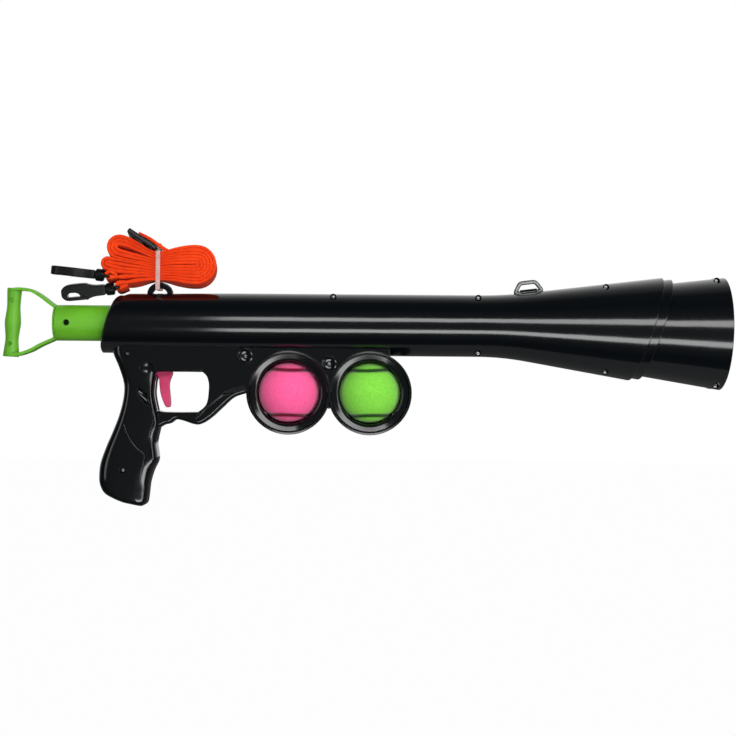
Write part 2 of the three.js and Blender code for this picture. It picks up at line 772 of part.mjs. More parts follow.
function loopSeat() {
  const foot = LOOP_FOOT_HALF + LOOP_WIRE + GAP;
  const wide = LOOP_WIRE + SLIDING_GAP;
  return unite(
    alongLoop(LOOP_WIRE + 2 * GAP, -foot, foot, 10),
    alongLoop(wide + GAP, LUG_HALF, foot, 8),
    alongLoop(wide + GAP, -foot, -LUG_HALF, 8),
  );
}

function bodyBlank() {
  return unite(
    barrelSolid(),
    funnelSolid(),
    solidOf(plate(housingOutline(), HOUSING_HALF, HOUSING_EDGE)),
    gripSolid(0, 16),
    solidOf(plate(guardOutline(), GUARD_HALF, GUARD_EDGE, 0, 2)),
    webSolid(),
    ringSolid(RING_X[0]),
    ringSolid(RING_X[1]),
    alongLoop(LUG_RADIUS, -LUG_HALF, LUG_HALF, 16),
    ...BODY_SCREWS.slice(-3).map(screwBoss),
    ...FUNNEL_SCREWS.map(screwBoss),
  );
}

// The web's flat face ends at a crease and falls away to the guard's edge
function webSolid() {
  const geometry = new THREE.ExtrudeGeometry(webOutline(), {
    depth: 2 * (HOUSING_HALF - CREASE_DEPTH),
    curveSegments: 2,
    bevelSize: CREASE_WIDTH,
    bevelThickness: CREASE_DEPTH,
    bevelOffset: 0,
    bevelSegments: 1,
  });
  return solidOf(geometry.translate(0, 0, CREASE_DEPTH - HOUSING_HALF).rotateX(Math.PI / 2));
}

// Spaces inside the body
function boreSolid() {
  const stopRear = BARREL_LENGTH - STOP_SETBACK - STOP_LENGTH;
  const rear = BARREL_REAR_RADIUS - WALL;
  const front = BARREL_RADIUS - WALL;
  const profile = [
    [0, -BEHIND_BODY],
    [rear, -BEHIND_BODY],
    [rear, 0],
    [front, REAR_TAPER_LENGTH],
    [front, stopRear],
    [STOP_RADIUS, stopRear],
    [STOP_RADIUS, BARREL_LENGTH],
    [0, BARREL_LENGTH],
  ];
  const bore = solidOf(latheAlongX(profile, 26)).subtract(behind(WALL, 0, REAR_SLANT));
  const tube = TUBE_RADIUS + SLIDING_GAP;
  const hole = [[0, -BEHIND_BODY], [tube, -BEHIND_BODY], [tube, BUSH_X], [0, BUSH_X]];
  return unite(bore, solidOf(latheAlongX(hole, 28)), inMuzzle(cone(-STOP_SETBACK, MUZZLE_LENGTH, WALL)));
}

function housingSpace() {
  const half = HOUSING_HALF - WALL;
  const opening = solidOf(plate(guardOpening(), FAR_AWAY, GAP, -WALL - GAP, 2));
  const beam = outline([
    [PIVOT_X - HOUSING_HALF, HOUSING_TOP],
    [PIVOT_X - HOUSING_HALF, HOUSING_FLOOR + WALL],
    [GUARD_FRONT + HOUSING_HALF, HOUSING_FLOOR + WALL],
    [GUARD_FRONT + HOUSING_HALF, HOUSING_TOP],
  ]);
  const web = solidOf(plate(outline(WEB_SPACE_SHARES.map(guardPoint)), half, GAP))
    .subtract(pinAlongY(RING_RADIUS, -half - GAP, half + GAP, RING_X[0], RING_Z, 20));
  const grip = gripSolid(WALL, 10);
  const roof = block(-FAR_AWAY, FAR_AWAY, -FAR_AWAY, FAR_AWAY, -BARREL_RADIUS - WALL, FAR_AWAY);
  const hollow = unite(grip, web.subtract(opening)).subtract(opening);
  return cutAway(unite(hollow, solidOf(plate(beam, half, GAP))), roof);
}

function triggerSlots() {
  const floor = HOUSING_FLOOR + WALL + GAP;
  const wing = SEAR_X + GAP;
  return unite(
    block(PIVOT_X, wing, -SLOT_HALF, SLOT_HALF, GUARD_FLOOR + 4 * GAP, floor),
    block(
      PIVOT_X + OVERRUN, SEAR_X + SEAR_LENGTH + SLIDING_GAP,
      -SLOT_HALF, SLOT_HALF, -BARREL_RADIUS - 2 * WALL, -RIB_INNER_RADIUS,
    ),
  );
}

// Ribs and bosses inside the body
function retainer(x) {
  const outer = BARREL_REAR_RADIUS - WALL / 2;
  const profile = [
    [RIB_INNER_RADIUS, x], [outer, x], [outer, x + RETAINER], [RIB_INNER_RADIUS, x + RETAINER],
    [RIB_INNER_RADIUS, x],
  ];
  return solidOf(latheAlongX(profile, 20));
}

function guideRib(turn) {
  const low = SEAT_X + SEAT_LENGTH + RETAINER;
  const high = BARREL_LENGTH - STOP_SETBACK - STOP_LENGTH + GAP;
  const width = BARREL_RADIUS - WALL / 2 - RIB_INNER_RADIUS;
  const geometry = new THREE.BoxGeometry(high - low, width, RIB_THICKNESS);
  moved(geometry, (low + high) / 2, RIB_INNER_RADIUS + width / 2, 0);
  return solidOf(geometry.rotateX(turn));
}

function innerRibs() {
  const wallHalf = HOUSING_HALF - WALL / 2;
  const springRib = block(
    TRIGGER_SPRING_X - WALL, TRIGGER_SPRING_X, -GRIP_HALF + WALL, GRIP_HALF - WALL,
    TRIGGER_SPRING_Z - 2 * SMALL_SPRING_RADIUS, TRIGGER_SPRING_Z + 2 * SMALL_SPRING_RADIUS,
  );
  const searGuides = [-1, 1].map((way) => block(
    SEAR_X - GAP, SEAR_X + SEAR_LENGTH,
    Math.min(way * (SEAR_HALF + GAP), way * wallHalf),
    Math.max(way * (SEAR_HALF + GAP), way * wallHalf),
    SEAR_BOTTOM_Z + WALL / 2, -BARREL_RADIUS - WALL / 2,
  ));
  const hubs = [-1, 1].map((way) => {
    const [low, high] = way < 0 ? [-wallHalf, -TRIGGER_HALF - GAP] : [TRIGGER_HALF + GAP, wallHalf];
    return pinAlongY(PIVOT_HUB_RADIUS - GAP, low, high, PIVOT_X, PIVOT_Z, 16);
  });
  return unite(
    retainer(BUSH_X + BUSH_LENGTH + GAP),
    retainer(SEAT_X - RETAINER - GAP),
    retainer(SEAT_X + SEAT_LENGTH + GAP),
    ...[RIB_ELEVATION, -RIB_ELEVATION, Math.PI - RIB_ELEVATION, Math.PI + RIB_ELEVATION].map(guideRib),
    springRib,
    ...searGuides,
    ...hubs,
  );
}

function archSeat() {
  const top = archBase() - ARCH_FOOT - GAP;
  return [-1, 1].map((way) => {
    const outer = ARCH_X + way * (ARCH_HALF_WIDTH + GAP);
    const inner = ARCH_X + way * (ARCH_HALF_WIDTH - ARCH_THICKNESS - GAP);
    return block(
      Math.min(outer, inner), Math.max(outer, inner),
      -ARCH_DEPTH / 2 - GAP, ARCH_DEPTH / 2 + GAP, top, BARREL_RADIUS + OVERRUN,
    );
  });
}

function archBase() {
  const share = ARCH_X / REAR_TAPER_LENGTH;
  return BARREL_REAR_RADIUS + share * (BARREL_RADIUS - BARREL_REAR_RADIUS);
}

const BOSSED_SCREWS = [...BODY_SCREWS, ...FUNNEL_SCREWS];

const body = cutAway(
  unite(
    cutAway(bodyBlank(), boreSolid(), housingSpace()),
    innerRibs(),
    ...BODY_SCREWS.map(screwBoss),
    ...FUNNEL_SCREWS.map(screwBoss),
  ),
  triggerSlots(),
  solidOf(plate(guardOpening(), HOUSING_HALF + OVERRUN, 0, 0, 2)),
  pinAlongY(PIVOT_PIN_RADIUS + GAP, -PIVOT_PIN_HALF - GAP, PIVOT_PIN_HALF + GAP, PIVOT_X, PIVOT_Z, 12),
  ...RING_X.map(ringSpace),
  ...BOSSED_SCREWS.map(screwHole),
  ...BODY_SCREWS.slice(2, 4).map(screwDish),
  screwDish([PIVOT_X, PIVOT_Z]),
  loopSeat(),
  ...archSeat(),
);

function nearHalf(solid) {
  return solid.subtract(block(-FAR_AWAY, FAR_AWAY, -GAP / 2, FAR_AWAY, -FAR_AWAY, FAR_AWAY));
}

function farHalf(solid) {
  return solid.subtract(block(-FAR_AWAY, FAR_AWAY, -FAR_AWAY, GAP / 2, -FAR_AWAY, FAR_AWAY));
}

piece("body_shell_near", geometryOf(nearHalf(body)), BLACK);
piece("body_shell_far", geometryOf(farHalf(body)), BLACK);

// Muzzle band and the two halves of the bell, in the muzzle's own frame
function muzzleShell(shrink, wall, rear, front) {
  const low = JOINT_AT - RING_RADIUS;
  const shell = cone(low, MUZZLE_LENGTH, shrink)
    .subtract(cone(low, MUZZLE_LENGTH + OVERRUN, shrink + wall))
    .subtract(behind(JOINT_AT - rear, 0, JOINT_SLANT));
  return front > 0 ? shell.subtract(beyond(JOINT_AT + front, 0, JOINT_SLANT)) : shell;
}

const band = inMuzzle(muzzleShell(WALL + GAP, BAND_WALL, BAND_INSERT, BAND_LENGTH));
const bell = cutAway(
  unite(inMuzzle(muzzleShell(BELL_SHRINK, WALL, BELL_SLEEVE, 0)), ...BELL_SCREWS.map(screwBoss)),
  ...BELL_SCREWS.map(screwHole),
);

piece("muzzle_band", geometryOf(band), BLACK);
piece("bell_near", geometryOf(nearHalf(bell)), BLACK);
piece("bell_far", geometryOf(farHalf(bell)), BLACK);

// Screws that draw the moulded halves together
function screwSolid([x, z]) {
  const top = -SCREW_FLOOR - GAP;
  const profile = [
    [0, top - SCREW_HEAD_HEIGHT],
    [SCREW_HEAD_RADIUS, top - SCREW_HEAD_HEIGHT],
    [SCREW_HEAD_RADIUS, top],
    [SCREW_SHANK_RADIUS, top],
    [SCREW_SHANK_RADIUS, top + SCREW_LENGTH],
    [0, top + SCREW_LENGTH],
  ];
  return solidOf(moved(lathe(profile, 7), x, 0, z));
}

BOSSED_SCREWS.forEach((place, i) => piece(`body_screw_${i + 1}`, geometryOf(screwSolid(place)), STEEL));
BELL_SCREWS.forEach((place, i) => piece(`bell_screw_${i + 1}`, geometryOf(screwSolid(place)), STEEL));

// Bushes for the pull tube
function washerAlongX(inner, outer, low, high, sides) {
  const profile = [[inner, low], [outer, low], [outer, high], [inner, high], [inner, low]];
  return solidOf(latheAlongX(profile, sides));
}

const bushInner = TUBE_RADIUS + GAP + WELD;
const bushOuter = BARREL_REAR_RADIUS - WALL - SLIDING_GAP;
piece("rear_bush", geometryOf(washerAlongX(bushInner, bushOuter, BUSH_X, BUSH_X + BUSH_LENGTH, 24)), RUBBER);
const springSeat = washerAlongX(bushInner, bushOuter, SEAT_X, SEAT_X + SEAT_LENGTH, 24);
piece("spring_seat", geometryOf(springSeat), RUBBER);

// Plunger: tube, handle, piston and pad
const stopRear = BARREL_LENGTH - STOP_SETBACK - STOP_LENGTH;
const pistonFront = stopRear - 2 * GAP - BUMPER_LENGTH;
const pistonRear = pistonFront - PISTON_LENGTH;
const noseFront = BARREL_LENGTH - STOP_SETBACK + NOSE_REACH;
const notchX = SEAR_X + PULL_STROKE;
const tube = cutAway(
  washerAlongX(TUBE_RADIUS - TUBE_WALL, TUBE_RADIUS, TUBE_REAR, pistonRear - GAP, 28),
  pinAlongY(HANDLE_HOLE_RADIUS, -TUBE_RADIUS - GAP, TUBE_RADIUS + GAP, HANDLE_SCREW_X, 0, 16),
  block(
    notchX - SLIDING_GAP, notchX + SEAR_LENGTH + SLIDING_GAP,
    -SEAR_HALF - SLIDING_GAP, SEAR_HALF + SLIDING_GAP,
    -TUBE_RADIUS - GAP, -TUBE_RADIUS + 2 * TUBE_WALL - GAP,
  ),
);
const piston = solidOf(latheAlongX([
  [0, pistonRear - PISTON_STEM],
  [TUBE_RADIUS - TUBE_WALL - GAP, pistonRear - PISTON_STEM],
  [TUBE_RADIUS - TUBE_WALL - GAP, pistonRear],
  [PISTON_RADIUS, pistonRear],
  [PISTON_RADIUS, pistonFront],
  [NOSE_RADIUS, pistonFront],
  [NOSE_RADIUS, noseFront],
  [0, noseFront],
], 24));
const pad = solidOf(latheAlongX([
  [0, noseFront + GAP],
  [NOSE_RADIUS - GAP, noseFront + GAP],
  [NOSE_RADIUS - GAP, noseFront + PAD_LENGTH - GAP],
  [NOSE_RADIUS - GAP - PAD_EDGE, noseFront + PAD_LENGTH],
  [0, noseFront + PAD_LENGTH],
], 24));

// Bar contour: height as a share of the handle's height, radius as a share of the widest
const BAR_SHARES = [
  [-0.5, 0.9], [-0.47, 0.99], [-0.26, 0.81], [-0.12, 0.9], [0, 1], [0.12, 0.91], [0.24, 0.825],
  [0.47, 0.9], [0.5, 0.82],
];
// Arm routes from the bar to the collar: shares of the reach between them and of the handle's height
const HANDLE_REACH = TUBE_REAR - HANDLE_BACK;
const TOP_ARM_SHARES = [[0.019, 0.479], [0.206, 0.484], [0.436, 0.465], [0.661, 0.395]];
const LOWER_ARM_SHARES = [[-0.046, -0.465], [0.148, -0.462], [0.431, -0.405], [0.661, -0.317]];

function armSolid(shares) {
  const steps = 2 * shares.length;
  const route = shares.map(([ahead, up]) => [HANDLE_BACK + ahead * HANDLE_REACH, up * HANDLE_HEIGHT]);
  route.push([TUBE_REAR - GAP - COLLAR_LENGTH / 2, Math.sign(route[0][1]) * (TUBE_RADIUS - ARM_THICKNESS)]);
  const curve = new THREE.SplineCurve(vectors(route));
  return solidOf(ribbon(curve.getPoints(steps), ARM_HALF, ARM_THICKNESS));
}

function dimple(x, z) {
  return pinAlongY(DIMPLE_RADIUS, -HANDLE_BAR_RADIUS - GAP, DIMPLE_DEPTH - HANDLE_BAR_RADIUS, x, z, 10);
}

function handleSolid() {
  const bar = BAR_SHARES.map(([height, radius]) => [radius * HANDLE_BAR_RADIUS, height * HANDLE_HEIGHT]);
  const upright = lathe([[0, bar[0][1]], ...bar, [0, bar.at(-1)[1]]], 14).rotateX(Math.PI / 2);
  const grip = solidOf(moved(upright.rotateY(HANDLE_TILT), HANDLE_BACK - GAP, 0, 0));
  const collar = TUBE_REAR - GAP;
  const plug = TUBE_RADIUS - TUBE_WALL - GAP;
  const stub = latheAlongX([
    [0, collar - COLLAR_LENGTH],
    [TUBE_RADIUS, collar - COLLAR_LENGTH],
    [TUBE_RADIUS, collar],
    [plug, collar],
    [plug, collar + PLUG_LENGTH],
    [plug - PLUG_WALL, collar + PLUG_LENGTH],
    [plug - PLUG_WALL, collar + PLUG_WALL],
    [0, collar + PLUG_WALL],
  ], 24);
  return cutAway(
    unite(grip, armSolid(TOP_ARM_SHARES), armSolid(LOWER_ARM_SHARES), solidOf(stub)),
    dimple(HANDLE_BACK - COLLAR_LENGTH + 2 * GAP, HANDLE_HEIGHT / Math.PI),
    dimple(HANDLE_BACK - COLLAR_LENGTH, -HANDLE_HEIGHT / Math.PI),
    pinAlongY(SCREW_SHANK_RADIUS + GAP, -plug - GAP, -plug / 2, HANDLE_SCREW_X, 0, 8),
  );
}

const handleScrewTop = TUBE_WALL - TUBE_RADIUS - GAP / 2;
const handleScrew = solidOf(moved(lathe([
  [0, handleScrewTop - SCREW_HEAD_HEIGHT],
  [SCREW_HEAD_RADIUS, handleScrewTop - SCREW_HEAD_HEIGHT],
  [SCREW_HEAD_RADIUS, handleScrewTop],
  [SCREW_SHANK_RADIUS, handleScrewTop],
  [SCREW_SHANK_RADIUS, handleScrewTop + OVERRUN],
  [0, handleScrewTop + OVERRUN],
], 10), HANDLE_SCREW_X, 0, 0));

piece("pull_tube", geometryOf(tube), GREEN);
piece("d_handle", geometryOf(handleSolid()), GREEN);
piece("handle_screw", geometryOf(handleScrew), STEEL);
piece("piston_head", geometryOf(piston), GREEN);
piece(
  "bumper_ring",
  geometryOf(washerAlongX(NOSE_RADIUS + GAP + WELD, PISTON_RADIUS, pistonFront + GAP, stopRear - GAP, 24)),
  RUBBER,
);
piece("piston_pad", geometryOf(pad), RUBBER);
piece(
  "main_spring",
  coil(SEAT_X + SEAT_LENGTH + GAP, pistonRear - GAP, SPRING_RADIUS, SPRING_WIRE, SPRING_TURNS, 8, 5),
  STEEL,
);

// Trigger and sear
// Points of the trigger, as shares of its reach from the pivot
const TRIGGER_REACH = 40;
const ARM_SHARES = [
  [0.128, 0.05], [0.338, 0.37], [0.53, 0.37], [0.53, 0.475], [0.338, 0.475], [0.082, 0.11],
  [-0.062, -0.05],
];
const BLADE_SHARES = [
  [0.122, -0.125], [0.237, -0.255], [0.253, -0.562], [0.343, -0.873], [0.42, -1], [0.523, -0.95],
  [0.523, -0.69], [0.495, -0.382], [0.535, -0.225], [0.588, -0.113], [0.388, -0.018], [0.138, 0.025],
];
const SHOULDER_SHARES = [
  [0.138, 0.05], [0.388, -0.013], [0.163, -0.125], [0.013, -0.1],
];
const TRIGGER_HEEL_DROP = 14;

function triggerPoint([ahead, up]) {
  return [PIVOT_X + ahead * TRIGGER_REACH, PIVOT_Z + up * TRIGGER_REACH];
}

function triggerSolid() {
  const heel = [
    [TRIGGER_HEEL_X, PIVOT_Z], [TRIGGER_HEEL_X, PIVOT_Z - TRIGGER_HEEL_DROP],
    [TRIGGER_HEEL_X + WALL, PIVOT_Z - TRIGGER_HEEL_DROP], [PIVOT_X + PIVOT_PIN_RADIUS, PIVOT_Z - WALL],
  ];
  const drawn = [ARM_SHARES, BLADE_SHARES, SHOULDER_SHARES];
  const outlines = [heel, ...drawn.map((shares) => shares.map(triggerPoint))];
  return unite(
    pinAlongY(PIVOT_HUB_RADIUS, -TRIGGER_HALF, TRIGGER_HALF, PIVOT_X, PIVOT_Z, 16),
    ...outlines.map((points) => solidOf(plate(outline(points), TRIGGER_HALF))),
  ).subtract(pinAlongY(PIVOT_PIN_RADIUS + GAP, -OVERRUN, OVERRUN, PIVOT_X, PIVOT_Z, 12));
}

const sear = plate(outline([
  [SEAR_X - SEAR_LEDGE, SEAR_BOTTOM_Z],
  [SEAR_X + SEAR_LENGTH, SEAR_BOTTOM_Z],
  [SEAR_X + SEAR_LENGTH, -TUBE_RADIUS - GAP],
  [SEAR_X, -TUBE_RADIUS - GAP],
  [SEAR_X, SEAR_LEDGE_Z],
  [SEAR_X - SEAR_LEDGE, SEAR_LEDGE_Z],
]), SEAR_HALF);
const triggerSpring = coil(
  TRIGGER_SPRING_X + GAP, TRIGGER_HEEL_X - GAP,
  SMALL_SPRING_RADIUS, SMALL_SPRING_WIRE, SMALL_SPRING_TURNS, 8, 5,
);
const searSpring = coil(
  HOUSING_FLOOR + WALL + GAP, SEAR_BOTTOM_Z - GAP,
  SMALL_SPRING_RADIUS, SMALL_SPRING_WIRE, SMALL_SPRING_TURNS, 8, 5,
);
const searMiddle = SEAR_X + SEAR_LENGTH / 2;

piece("trigger", geometryOf(triggerSolid()), PINK);
piece(
  "trigger_pin",
  geometryOf(pinAlongY(PIVOT_PIN_RADIUS, -PIVOT_PIN_HALF, PIVOT_PIN_HALF, PIVOT_X, PIVOT_Z, 12)),
  STEEL,
);
piece("trigger_spring", moved(triggerSpring, 0, 0, TRIGGER_SPRING_Z), STEEL);
piece("sear", geometryOf(solidOf(sear)), STEEL);
piece("sear_spring", moved(searSpring.rotateY(-Math.PI / 2), searMiddle, 0, 0), STEEL);

// Spare balls
["ball_pink", "ball_green"].forEach((name, i) => {
  const ball = new THREE.IcosahedronGeometry(BALL_RADIUS, 3);
  piece(name, geometryOf(solidOf(moved(ball, RING_X[i], 0, RING_Z))), [PINK_FELT, GREEN_FELT][i]);
});

// Sling loops
function roundedRing(corners, radius, steps) {
  const points = [];
  corners.forEach((corner, i) => {
    const before = corners[(i + corners.length - 1) % corners.length];
    const after = corners[(i + 1) % corners.length];
    const start = before.clone().sub(corner).setLength(radius).add(corner);
    const end = after.clone().sub(corner).setLength(radius).add(corner);
    points.push(...new THREE.QuadraticBezierCurve3(start, corner, end).getPoints(steps));
  });
  return points;
}

const loopCorners = [
  [-LOOP_FOOT_HALF, 0], [LOOP_FOOT_HALF, 0], [LOOP_TOP_HALF, LOOP_HEIGHT], [-LOOP_TOP_HALF, LOOP_HEIGHT],
].map(([x, z]) => new THREE.Vector3(x, 0, z));
const frontLoop = wire(roundedRing(loopCorners, LOOP_WIRE, 2), LOOP_WIRE, 8, true);
piece("front_sling_loop", moved(frontLoop.rotateY(-LOOP_SLOPE), LOOP_X, 0, LOOP_Z), STEEL);

function archSolid() {
  const inner = ARCH_HALF_WIDTH - ARCH_THICKNESS;
  const innerRise = ARCH_HEIGHT - ARCH_THICKNESS;
  const shape = new THREE.Shape();
  shape.moveTo(ARCH_HALF_WIDTH, -ARCH_FOOT);
  shape.lineTo(ARCH_HALF_WIDTH, 0);
  shape.absellipse(0, 0, ARCH_HALF_WIDTH, ARCH_HEIGHT, 0, Math.PI, false);
  shape.lineTo(-ARCH_HALF_WIDTH, -ARCH_FOOT);
  shape.lineTo(-inner, -ARCH_FOOT);
  shape.lineTo(-inner, 0);
  shape.absellipse(0, 0, inner, innerRise, Math.PI, 0, true);
  shape.lineTo(inner, -ARCH_FOOT);
  return solidOf(moved(plate(shape, ARCH_DEPTH / 2, 0, 0, 8), ARCH_X, 0, archBase()));
}

piece("rear_sling_loop", geometryOf(archSolid()), BLACK);

// Strap: twelve runs pinched at the waist, joined in a bulb on the right and two lobes on the left
const RUN_ORDER = [1, 12, 7, 6, 3, 10, 9, 4, 5, 8, 11, 2];
const UPPER_EYE = eyeBar(UPPER_HOOK);
const LOWER_EYE = eyeBar(LOWER_HOOK);

function eyeBar(hook) {
  const drop = Math.atan2(hook.eyeDrop, EYE_REACH);
  return new THREE.Vector2(hook.x + EYE_REACH * Math.cos(drop), hook.z - EYE_REACH * Math.sin(drop));
}

function waistPoint(run) {
  return new THREE.Vector2(WAIST_X, WAIST_Z + (run - (HANK_RUNS + 1) / 2) * WAIST_PITCH);
}

// A smooth bend from one place and heading to another
function bend(from, heading, to, arrival, steps) {
  const reach = from.distanceTo(to);
  const points = [];
  for (let i = 0; i <= steps; i += 1) {
    const t = i / steps;
    const point = from.clone().multiplyScalar((1 + 2 * t) * (1 - t) ** 2);
    point.addScaledVector(heading, reach * t * (1 - t) ** 2);
    point.addScaledVector(to, t * t * (3 - 2 * t));
    point.addScaledVector(arrival, reach * t * t * (t - 1));
    points.push(point);
  }
  return points;
}

function arc(centre, start, heading, radius, turn, steps) {
  const points = [];
  for (let i = 0; i <= steps; i += 1) {
    const angle = (turn * i) / steps;
    const point = centre.clone().addScaledVector(start, radius * Math.cos(angle));
    points.push(point.addScaledVector(heading, radius * Math.sin(angle)));
  }
  return points;
}

function turnAt(centre, heading, up, radius) {
  const start = new THREE.Vector2(-heading.y, heading.x).multiplyScalar(up);
  return arc(centre, start, heading, radius, Math.PI, radius > FINE_TURN_RADIUS ? 8 : 5);
}

const RIGHTWARD = new THREE.Vector2(1, 0);
const LEFTWARD = new THREE.Vector2(-1, 0);

// The turn that joins one run to the next
function joinOf(run, next, goingRight) {
  if (goingRight) {
    const shell = HANK_RUNS / 2 - Math.min(run, next) + 1 / 2;
    const centre = new THREE.Vector2(BULB_X, WAIST_Z);
    return turnAt(centre, RIGHTWARD, run > next ? 1 : -1, shell * BULB_PITCH);
  }
  const lobe = Math.max(run, next) > HANK_RUNS / 2 ? UPPER_LOBE : LOWER_LOBE;
  const shell = (Math.abs(run - next) - 1) / 2;
  const heading = new THREE.Vector2(-Math.cos(lobe.lean), Math.sin(lobe.lean));
  const centre = new THREE.Vector2(lobe.x, lobe.z);
  return turnAt(centre, heading, run > next ? -1 : 1, lobe.hole + shell * LOBE_PITCH);
}

// The strap's end wraps an eye bar, over it or under it, and lies back on its own run
function eyeEnd(eye, side) {
  const wrap = arc(eye, new THREE.Vector2(0, side), LEFTWARD, EYE_WRAP_RADIUS, Math.PI + EYE_TAIL_LEAN, 7);
  const tail = new THREE.Vector2(Math.cos(EYE_TAIL_LEAN), side * Math.sin(EYE_TAIL_LEAN));
  return [...wrap, wrap.at(-1).clone().addScaledVector(tail, EYE_TAIL)];
}

function strapRoute() {
  const points = eyeEnd(LOWER_EYE, 1).reverse();
  let heading = RIGHTWARD;
  RUN_ORDER.forEach((run, i) => {
    const goingRight = i % 2 === 0;
    const way = goingRight ? RIGHTWARD : LEFTWARD;
    const waist = waistPoint(run);
    const next = RUN_ORDER[i + 1];
    const turn = next ? joinOf(run, next, goingRight) : eyeEnd(UPPER_EYE, -1);
    const arrival = next ? turn[1].clone().sub(turn[0]).normalize() : LEFTWARD;
    points.push(...bend(points.at(-1), heading, waist, way, 5).slice(1));
    points.push(...bend(waist, way, turn[0], arrival, 5).slice(1));
    points.push(...turn.slice(1));
    heading = turn.at(-1).clone().sub(turn.at(-2)).normalize();
  });
  return points;
}

// Least clear distance between parts of the strap that are not neighbours along it
function leastGap(points, thickness) {
  const apart = Math.ceil(Math.PI * EYE_WRAP_RADIUS / thickness) + 2;
  let least = Infinity;
  for (let i = 0; i < points.length; i += 1) {
    for (let k = i + apart; k < points.length - 1; k += 1) {
      const line = new THREE.Line3(
        new THREE.Vector3(points[k].x, points[k].y, 0),
        new THREE.Vector3(points[k + 1].x, points[k + 1].y, 0),
      );
      const place = new THREE.Vector3(points[i].x, points[i].y, 0);
      const nearest = line.closestPointToPoint(place, true, new THREE.Vector3());
      least = Math.min(least, nearest.distanceTo(place) - thickness);
    }
  }
  return least;
}

function routeLength(points) {
  return points.slice(1).reduce((sum, point, i) => sum + point.distanceTo(points[i]), 0);
}

const strapPoints = strapRoute();
const tailCurve = new THREE.SplineCurve(vectors(TAIL_ROUTE));
const tailPoints = tailCurve.getPoints(2 * (TAIL_ROUTE.length - 1));
console.log(`strap length ${routeLength(strapPoints).toFixed(1)} mm`);
console.log(`tail length ${routeLength(tailPoints).toFixed(1)} mm`);
console.log(`strap least gap to itself ${leastGap(strapPoints, STRAP_THICKNESS).toFixed(2)} mm`);

piece("strap", ribbon(strapPoints, STRAP_HALF, STRAP_THICKNESS), ORANGE_WEB);
piece("strap_tail", ribbon(tailPoints, STRAP_HALF, STRAP_THICKNESS), ORANGE_WEB);

// Tie: a clear band round the hank and under the arch, with an upright tab
function tieSolid() {
  const half = STRAP_HALF + GAP;
  const top = waistPoint(HANK_RUNS).y + STRAP_THICKNESS / 2 + 2 * GAP;
  const bottom = archBase() + ARCH_HEIGHT - ARCH_THICKNESS - TIE_DROP;
  const low = TIE_X - TIE_WIDTH / 2;
  const high = TIE_X + TIE_WIDTH / 2;
  const band = block(low, high, -half - TIE_WALL, half + TIE_WALL, bottom - TIE_WALL, top + TIE_WALL)
    .subtract(block(low - GAP, high + GAP, -half, half, bottom, top));
  return band.add(block(low, high, -TIE_TAB_HALF, TIE_TAB_HALF, top + GAP, TIE_TAB_TOP));
}

piece("strap_tie", geometryOf(tieSolid()), CLEAR_TIE);

// Slide adjuster: a flat frame with a middle bar
function slideSolid() {
  const half = SLIDE_LENGTH / 2;
  const thick = SLIDE_THICKNESS / 2;
  const window = STRAP_HALF + SLIDING_GAP;
  const corners = [[-half, -thick], [half, -thick], [half, thick], [-half, thick]];
  const frame = solidOf(plate(outline(corners), SLIDE_HALF));
  const slots = [-1, 1].map((way) => block(
    Math.min(way * SLIDE_BAR / 2, way * (half - SLIDE_BAR)),
    Math.max(way * SLIDE_BAR / 2, way * (half - SLIDE_BAR)),
    -window, window, -SLIDE_THICKNESS, SLIDE_THICKNESS,
  ));
  return geometryOf(cutAway(frame, ...slots)).rotateY(SLIDE_LEAN);
}

piece("strap_slide", moved(slideSolid(), SLIDE_X, 0, SLIDE_Z), HOOK_BLACK);

// Snap hooks, built pointing back along X from the knob's centre
function placed(geometry, hook, roll) {
  return moved(geometry.rotateX(roll).rotateY(hook.pitch), hook.x, 0, hook.z);
}

const HOOK_WIDTH_SHARES = [[0.3, 0.54], [0.42, 0.8], [0.52, 1], [0.8, 1], [0.92, 0.82], [0.98, 0.45]];

function hookSolid() {
  const reach = HOOK_LENGTH + KNOB_HALF_LENGTH;
  const start = [-KNOB_HALF_LENGTH - GAP, HOOK_WIDTH_SHARES[0][1] * HOOK_HALF_WIDTH];
  const shaped = HOOK_WIDTH_SHARES.map(([along, wide]) => [-along * reach, wide * HOOK_HALF_WIDTH]);
  const upper = [start, ...shaped];
  const lower = upper.map(([x, z]) => [x, -z]).reverse();
  const spine = HOOK_HALF_WIDTH - HOOK_SHANK_HALF - HOOK_EDGE;
  const gateTop = GATE_THICKNESS - HOOK_HALF_WIDTH + 2 * GAP;
  return cutAway(
    solidOf(plate(outline([...upper, ...lower]), HOOK_THICKNESS / 2, HOOK_EDGE)),
    block(-NOSE_AT, -GATE_PIVOT_AT, -HOOK_THICKNESS, HOOK_THICKNESS, gateTop, spine),
    block(-NOSE_AT, -GATE_PIVOT_AT, -HOOK_THICKNESS, HOOK_THICKNESS, -HOOK_THICKNESS, gateTop),
    pinAlongY(GATE_PIVOT_RADIUS + GAP, -HOOK_THICKNESS, HOOK_THICKNESS, -GATE_PIVOT_AT, gatePivotZ(), 12),
    solidOf(latheAlongX([
      [0, -FLANGE_AT - FLANGE_LENGTH - GAP],
      [FLANGE_RADIUS + GAP, -FLANGE_AT - FLANGE_LENGTH - GAP],
      [FLANGE_RADIUS + GAP, GAP - FLANGE_AT],
      [STEM_RADIUS + GAP, GAP - FLANGE_AT],
      [STEM_RADIUS + GAP, 0],
      [0, 0],
    ], 12)),
  );
}

function gatePivotZ() {
  return GATE_PIVOT_RADIUS - HOOK_HALF_WIDTH + GAP;
}

